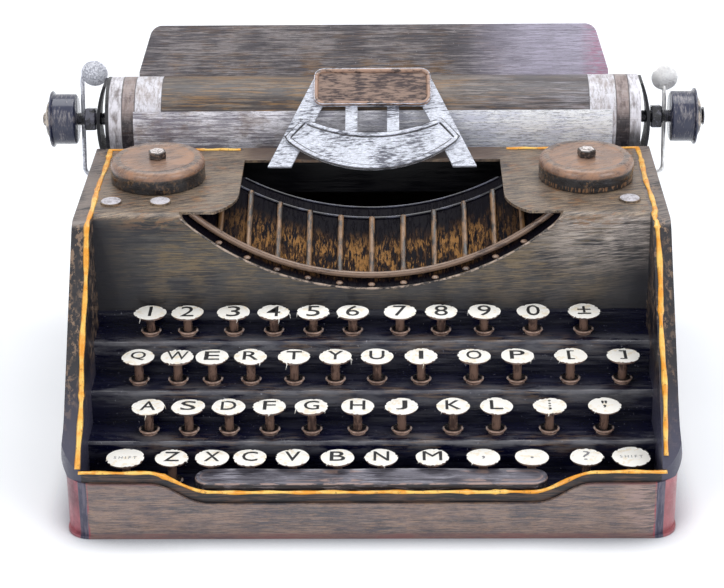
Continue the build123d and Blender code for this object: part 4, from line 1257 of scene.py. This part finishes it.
def make_deck_rivets():
    """The domed rivets beside the spool covers: two on the left and one on the right."""
    rivets = ((-111.0, 93.5), (-90.0, 93.5), (110.0, 94.5))
    head = [(4.5, 0.0), (4.55, 0.5), (4.1, 0.95), (3.0, 1.15), (0, 1.25)]
    piece = Piece(RIVET)
    for x, y in rivets:
        piece.turned(head, place(x, y, DECK + 0.02), UP, RIVET, 32)
    piece.make("deck_rivet_heads", BODY_OF["housing"])


make_lining()
make_deck_rivets()

# ---------------------------------------------------------------- spool covers


def make_spool(node):
    """A spool cover with its dished lid and its nut."""
    x, y, floor, _, radius, _ = measured(node)
    tall = 9.5
    inner = radius - 1.2
    bend = 3.0
    piece = Piece(SPOOL, NUT, NUT_TOP_HIGHLIGHT)
    shoulder = []
    for step in range(1, 7):
        angle = math.radians(90 * step / 6)
        shoulder.append((radius - bend + bend * math.cos(angle), tall - bend + bend * math.sin(angle)))
    lid = [(16.6, 0), (15.8, -0.5), (15.0, -0.55), (9.0, -0.35), (2.7, -0.3), (2.7, -1.2), (inner, -1.2)]
    wall = [(inner, 0.0), (radius, 0.0), (radius, tall - bend)]
    piece.turned([*wall, *shoulder, *from_height(tall, lid), (inner, 0.0)], place(x, y, floor), UP, SPOOL, 72)
    piece.hexagon(*M4_NUT, place(x, y, floor + tall - 0.3), UP, NUT)
    nut_top = place(x, y, floor + tall + 2.88)
    # The nut's top face and the stud are painted near white: a painted highlight.
    piece.turned([(3.4, 0), (3.2, 0.16), (0, 0.2)], nut_top, UP, NUT_TOP_HIGHLIGHT, 6)
    piece.turned([(2.0, 0.1), (2.0, 0.45), (1.6, 0.6), (0, 0.62)], nut_top, UP, NUT_TOP_HIGHLIGHT, 20)
    piece.make(f"{node}_piece", BODY_OF[node], [node])


make_spool("left_spool_cover")
make_spool("right_spool_cover")

# ---------------------------------------------------------------- platen ends

AXIS_Y = 185.0
AXIS_Z = 114.0


def make_shaft():
    """The shaft with its threads, nuts and knobs."""
    piece = Piece(THREAD, KNOB, DOME)
    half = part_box("platen_shaft")[1].x / MM
    thread_start, thread_end, thread_pitch = 121.0, 138.0, 0.9
    nut_start = 128.4
    knob_start = 137.3
    dome_end = half - 0.1
    ridge = [(2.6, 0), (2.95, 0.25), (2.95, 0.45), (2.6, 0.7)]
    knob = [(2.0, 0), (10.6, 0), (11.5, 0.5), (11.6, 1.2), (11.6, 10.2)]
    knob += [(12.4, 10.5), (13.0, 10.9), (12.9, 11.6), (11.4, 11.9), (9.6, 11.9)]
    dome = [(9.6, 11.6), (9.0, 12.6), (7.4, 13.6), (5.0, 14.2), (3.6, 14.3), (3.4, 14.1)]
    dome_top = [(2.9, dome_end - 0.4), (2.2, dome_end), (0, dome_end)]
    washer = [(4.1, 0), (4.1, 0.5), (3.2, 0.7), (0, 0.75)]
    base = place(0, AXIS_Y, AXIS_Z)
    for side in (-1, 1):
        axis = (side, 0, 0)
        ridges = []
        height = thread_start
        while height < thread_end:
            ridges += from_height(height, ridge)
            height += thread_pitch
        piece.turned(ridges, base, axis, THREAD, 18)
        piece.hexagon(*M6_NUT, place(side * nut_start, AXIS_Y, AXIS_Z), axis, THREAD)
        piece.turned(from_height(knob_start, knob), base, axis, KNOB, 48)
        piece.turned(from_height(knob_start, dome) + dome_top, base, axis, DOME, 40)
    piece.turned(washer, place(half - 0.85, AXIS_Y, AXIS_Z), (1, 0, 0), THREAD, 24)
    piece.make("shaft_and_knobs", BODY_OF["platen_shaft"], ["platen_shaft"])


def bent_wire(points, radius):
    """Points with their corners rounded."""
    made = [points[0]]
    for before, corner, after in zip(points, points[1:], points[2:]):
        made += rounded_corner(before, corner, after, radius, 6, MM)
    made.append(points[-1])
    return made


def make_lever(node, side, disc_x, disc_z):
    """A bent wire out of the casing's side and up to a disc. The left one bends back in to it."""
    wall_x, wire_x = 120.0, 135.4
    low_y, low_z, high_y = 184.0, 86.5, 196.0
    piece = Piece(DISC)
    corners = [place(side * wall_x, low_y, low_z), place(side * wire_x, low_y, low_z)]
    corners.append(place(side * wire_x, high_y, disc_z))
    if disc_x != wire_x:
        corners.append(place(side * disc_x, high_y, disc_z))
    piece.drawn(bent_wire(corners, 4.0), 0.98, DISC, 14)
    disc = [(0, 0), (5.6, 0), (6.1, 0.3), (6.15, 0.8), (5.7, 1.15), (0, 1.2)]
    piece.turned(disc, place(side * disc_x, 195.1, disc_z), (0, -1, 0), DISC, 40)
    piece.make(f"{node}_piece", BODY_OF[node], [node])


make_shaft()
make_lever("left_lever", -1, 129.4, 133.0)
make_lever("right_lever", 1, 135.4, 129.5)

# ---------------------------------------------------------------- space bar


def make_space_bar():
    """The space bar, a shell with a raised edge round its top, on two posts."""
    _, y, foot, top, half, depth = measured("space_bar")
    skirt = top - 4.4
    wall = 1.0
    post_x = 50.0
    run_length = 6
    sagging_above = top - 2
    piece = Piece(BAR, STEM)

    def stadium(inset, z):
        """A ring round the bar at a height, cut into short runs so that its top can sag."""
        ring = []
        for side, start in ((1, -90), (-1, 90)):
            ring += arc((side * (half - depth), 0.0), depth - inset, start, start + 180, 12)
        made = []
        for (x0, y0), (x1, y1) in zip(ring, ring[1:] + ring[:1]):
            runs = max(1, int(abs(x1 - x0) / run_length))
            for run in range(runs):
                x = x0 + (x1 - x0) * run / runs
                sag = 0.16 * math.sin(x * 0.09) + 0.08 * math.sin(x * 0.23 + 1) - 0.24
                made.append(place(x, y + y0 + (y1 - y0) * run / runs, z + (sag if z > sagging_above else 0)))
        return made

    skin = [stadium(wall, skirt), stadium(0.0, skirt)]
    edge = [(0.0, -0.9), (0.3, -0.3), (0.8, 0), (1.3, -0.2), (2.2, -0.35), (5.2, -0.1)]
    skin += [stadium(inset, z) for inset, z in from_height(top, edge)]
    piece.faces(skin, BAR, caps=(False, True))
    piece.faces([stadium(wall, skirt), stadium(wall, top - 1.6)], BAR, caps=(False, True))
    for x in (-post_x, post_x):
        piece.turned([(STEM_RADIUS, foot), (STEM_RADIUS, top - 1.4)], place(x, y, 0), UP, STEM, 16)
    piece.make("space_bar_piece", BODY_OF["space_bar"], ["space_bar"])


make_space_bar()

# ---------------------------------------------------------------- type guide

WELL_REAR = 141.9
PLATEN_RADIUS = 19.5
APRON_GAP = 0.4
APRON_THICKNESS = 0.9
SEAT_GAP = 0.1
FAN_LIFT = 2.45


def guide_place(x, s, lift):
    """A place on the type guide: s is how far up its slope, and lift how far off its back."""
    reach = PLATEN_RADIUS + APRON_GAP + APRON_THICKNESS + SEAT_GAP
    to_axis = (AXIS_Y - WELL_REAR, AXIS_Z - DECK)
    slope = math.atan2(to_axis[1], to_axis[0]) + math.asin(reach / math.hypot(*to_axis))
    return place(
        x,
        WELL_REAR + s * math.cos(slope) - lift * math.sin(slope),
        DECK + s * math.sin(slope) + lift * math.cos(slope),
    )


def arc_through(first, middle, last, steps):
    """Points round the circle through three flat points."""
    (ax, ay), (bx, by), (cx, cy) = first, middle, last
    double = 2 * (ax * (by - cy) + bx * (cy - ay) + cx * (ay - by))
    a, b, c = ax**2 + ay**2, bx**2 + by**2, cx**2 + cy**2
    ux = (a * (by - cy) + b * (cy - ay) + c * (ay - by)) / double
    uy = (a * (cx - bx) + b * (ax - cx) + c * (bx - ax)) / double
    start = math.atan2(ay - uy, ax - ux)
    end = math.atan2(cy - uy, cx - ux)
    radius = math.hypot(ax - ux, ay - uy)
    points = []
    for step in range(steps + 1):
        angle = start + (end - start) * step / steps
        points.append((ux + radius * math.cos(angle), uy + radius * math.sin(angle)))
    return points


def rounded_loop(corners, radius):
    """A closed loop of flat points with its corners rounded."""
    spots = [Vector(corner) for corner in corners]
    made = []
    for before, corner, after in zip(spots[-1:] + spots, spots, spots[1:] + spots[:1]):
        made += [(spot.x, spot.y) for spot in rounded_corner(before, corner, after, radius, 5)]
    return made


def closed_wire(piece, loop, lift, radius, material, flat=1.0):
    """A wire border along a loop on the type guide. flat makes it a low ribbon."""
    points = [guide_place(x, s, lift) for x, s in loop]
    up = (guide_place(0, 0, 1) - guide_place(0, 0, 0)).normalized()
    count = len(points)
    rings = []
    for number in range(count + 1):
        here = points[number % count]
        run = (points[(number + 1) % count] - points[number - 1]).normalized()
        side = run.cross(up).normalized()
        rings.append([here + (side * cos + up * flat * sin) * radius * MM for cos, sin in turns(10)])
    piece.faces(rings, material)


def make_guide_wires():
    """Round wire borders on the fan plate and the name plate, and a dark ribbon beside the fan's border as a
    painted shadow.
    """
    piece = Piece(GUIDE_WIRE, NAME_RIM, NAME_PLATE, BEAD_SHADOW)
    fan = arc_through((-38.0, 10.3), (0.0, -5.6), (38.0, 10.3), 36)
    fan += arc_through((30.6, 19.6), (0.0, 11.8), (-30.6, 19.6), 30)
    plate = rounded_loop([(-25.6, 29.2), (25.6, 29.2), (25.6, 47.4), (-25.6, 47.4)], 4.0)
    # A flat dark ribbon under the fan's wire: a painted shadow beside the bead.
    closed_wire(piece, fan, FAN_LIFT - 0.05, 1.45, BEAD_SHADOW, 0.25)
    closed_wire(piece, fan, FAN_LIFT, 0.85, GUIDE_WIRE)
    closed_wire(piece, plate, FAN_LIFT, 1.1, NAME_RIM)
    rings = [[guide_place(x, s, lift) for x, s in plate] for lift in (2.0, 2.44)]
    piece.faces(rings, NAME_PLATE, caps=(True, True))
    piece.make("guide_wires", BODY_OF["type_guide"])


make_guide_wires()

# ---------------------------------------------------------------- CAD nodes that stay

FINISHES = {
    "housing": CASING,
    "key_deck": STEPS,
    "base": BAND,
    "type_basket": BASKET,
    "carriage_frame": CARRIAGE,
    "platen_roller": PLATEN,
    "type_guide": GUIDE,
}
for dressed_node, finish in FINISHES.items():
    node_mesh = NODES[dressed_node].data
    node_mesh.materials.clear()
    node_mesh.materials.append(finish)

# ---------------------------------------------------------------- floor, light and camera


def seen_plainly(tree):
    """1 for rays from the camera, and for those that glossy or clear surfaces send out."""
    path = tree.nodes.new("ShaderNodeLightPath")
    seen = path.outputs["Is Camera Ray"]
    for label in ("Is Glossy Ray", "Is Transmission Ray"):
        either = tree.nodes.new("ShaderNodeMath")
        either.operation = "MAXIMUM"
        tree.links.new(seen, either.inputs[0])
        tree.links.new(path.outputs[label], either.inputs[1])
        seen = either.outputs[0]
    return seen


def make_floor():
    """A pale sheet under and behind the object. It keeps the object's shadow, and its colour is painted
    darker close to the object as well: a painted contact shadow.
    """
    reach = 3.0
    corners = [(-reach, -reach, 0), (reach, -reach, 0), (reach, reach, 0), (-reach, reach, 0)]
    shade_reach = 0.022
    black, near_glow, far_glow = (0.0, 0.0, 0.0, 1.0), (0.16, 0.17, 0.18, 1.0), (0.46, 0.47, 0.48, 1.0)
    shaded, open_floor = (0.34, 0.36, 0.4, 1.0), (0.95, 0.96, 0.98, 1.0)
    mesh = bpy.data.meshes.new("pale_floor")
    mesh.from_pydata(corners, [], [(0, 1, 2, 3)])
    floor = add_object("pale_floor", mesh)
    paint = Paint("pale_floor", roughness=0.9, specular=0.0)
    paint.shader.inputs["Emission Strength"].default_value = 1.0
    seen = Val(paint, seen_plainly(paint.tree))
    # open_sky is 1 in the open and falls near the object. The sheet's colour and its glow follow it, which
    # paints a contact shadow.
    open_sky = paint.node("ShaderNodeAmbientOcclusion", {}, None, shade_reach, out=1).rise(0.35, 0.9)
    sheet = paint.mix(open_sky, shaded, open_floor)
    x, y = paint.axis(0), paint.axis(1)
    from_middle = (x * x + y * y).math("SQRT")
    faint = paint.mix(from_middle.rise(300.0, 1300.0), near_glow, far_glow)
    glow = paint.mix(seen * open_sky, black, faint)
    paint.finish(base_color=sheet, emission_color=glow)
    mesh.materials.append(paint.material)


def area_light(name, location, target, size, power, colour=(1, 1, 1)):
    """A soft light that faces its target. Its places and its size are in metres."""
    data = bpy.data.lights.new(name, "AREA")
    data.shape = "RECTANGLE"
    data.size, data.size_y = size
    data.energy = power
    data.color = colour
    lamp = add_object(name, data)
    lamp.location = location
    lamp.rotation_mode = "QUATERNION"
    lamp.rotation_quaternion = (Vector(target) - Vector(location)).to_track_quat("-Z", "Y")


def make_world():
    """An even pale light. The camera and the reflections see plain white instead."""
    world = bpy.data.worlds.new("studio")
    bpy.context.scene.world = world
    world.use_nodes = True
    tree = world.node_tree
    light = tree.nodes["Background"]
    light.inputs["Color"].default_value = (0.94, 0.96, 1.0, 1.0)
    light.inputs["Strength"].default_value = 0.5
    white = tree.nodes.new("ShaderNodeBackground")
    white.inputs["Color"].default_value = (1.0, 1.0, 1.0, 1.0)
    choose = tree.nodes.new("ShaderNodeMixShader")
    tree.links.new(seen_plainly(tree), choose.inputs[0])
    tree.links.new(light.outputs[0], choose.inputs[1])
    tree.links.new(white.outputs[0], choose.inputs[2])
    tree.links.new(choose.outputs[0], tree.nodes["World Output"].inputs[0])


def make_camera():
    """A long lens that looks down on the keys, turned a hair to the left and rolled a little."""
    stand = place(10.6, -746.6, 460.8)
    pitch, yaw, roll = (math.radians(value) for value in (25.14, 1.02, 0.65))
    data = bpy.data.cameras.new("camera")
    data.sensor_width = 36.0
    data.lens = 106.18
    data.clip_end = 20
    camera = add_object("camera", data)
    forward = Vector((-math.sin(yaw) * math.cos(pitch), math.cos(yaw) * math.cos(pitch), -math.sin(pitch)))
    right = Vector((math.cos(yaw), math.sin(yaw), 0))
    up = right.cross(forward)
    level_right = right * math.cos(roll) - up * math.sin(roll)
    level_up = right * math.sin(roll) + up * math.cos(roll)
    turn = Matrix((level_right, level_up, -forward)).transposed()
    camera.matrix_world = Matrix.Translation(stand) @ turn.to_4x4()
    bpy.context.scene.camera = camera


make_floor()
make_world()
area_light("overhead", (0.05, 0.3, 1.25), (0, 0.0, 0.05), (1.2, 0.9), 9.5)
area_light("front_left", (-0.9, -1.1, 0.9), (0, 0, 0.08), (0.8, 0.8), 5.6, (1.0, 0.98, 0.96))
area_light("front_right", (1.1, -0.9, 0.8), (0, 0, 0.08), (0.8, 0.8), 6.8, (0.97, 0.98, 1.0))
make_camera()
bpy.context.scene.view_settings.view_transform = "Standard"
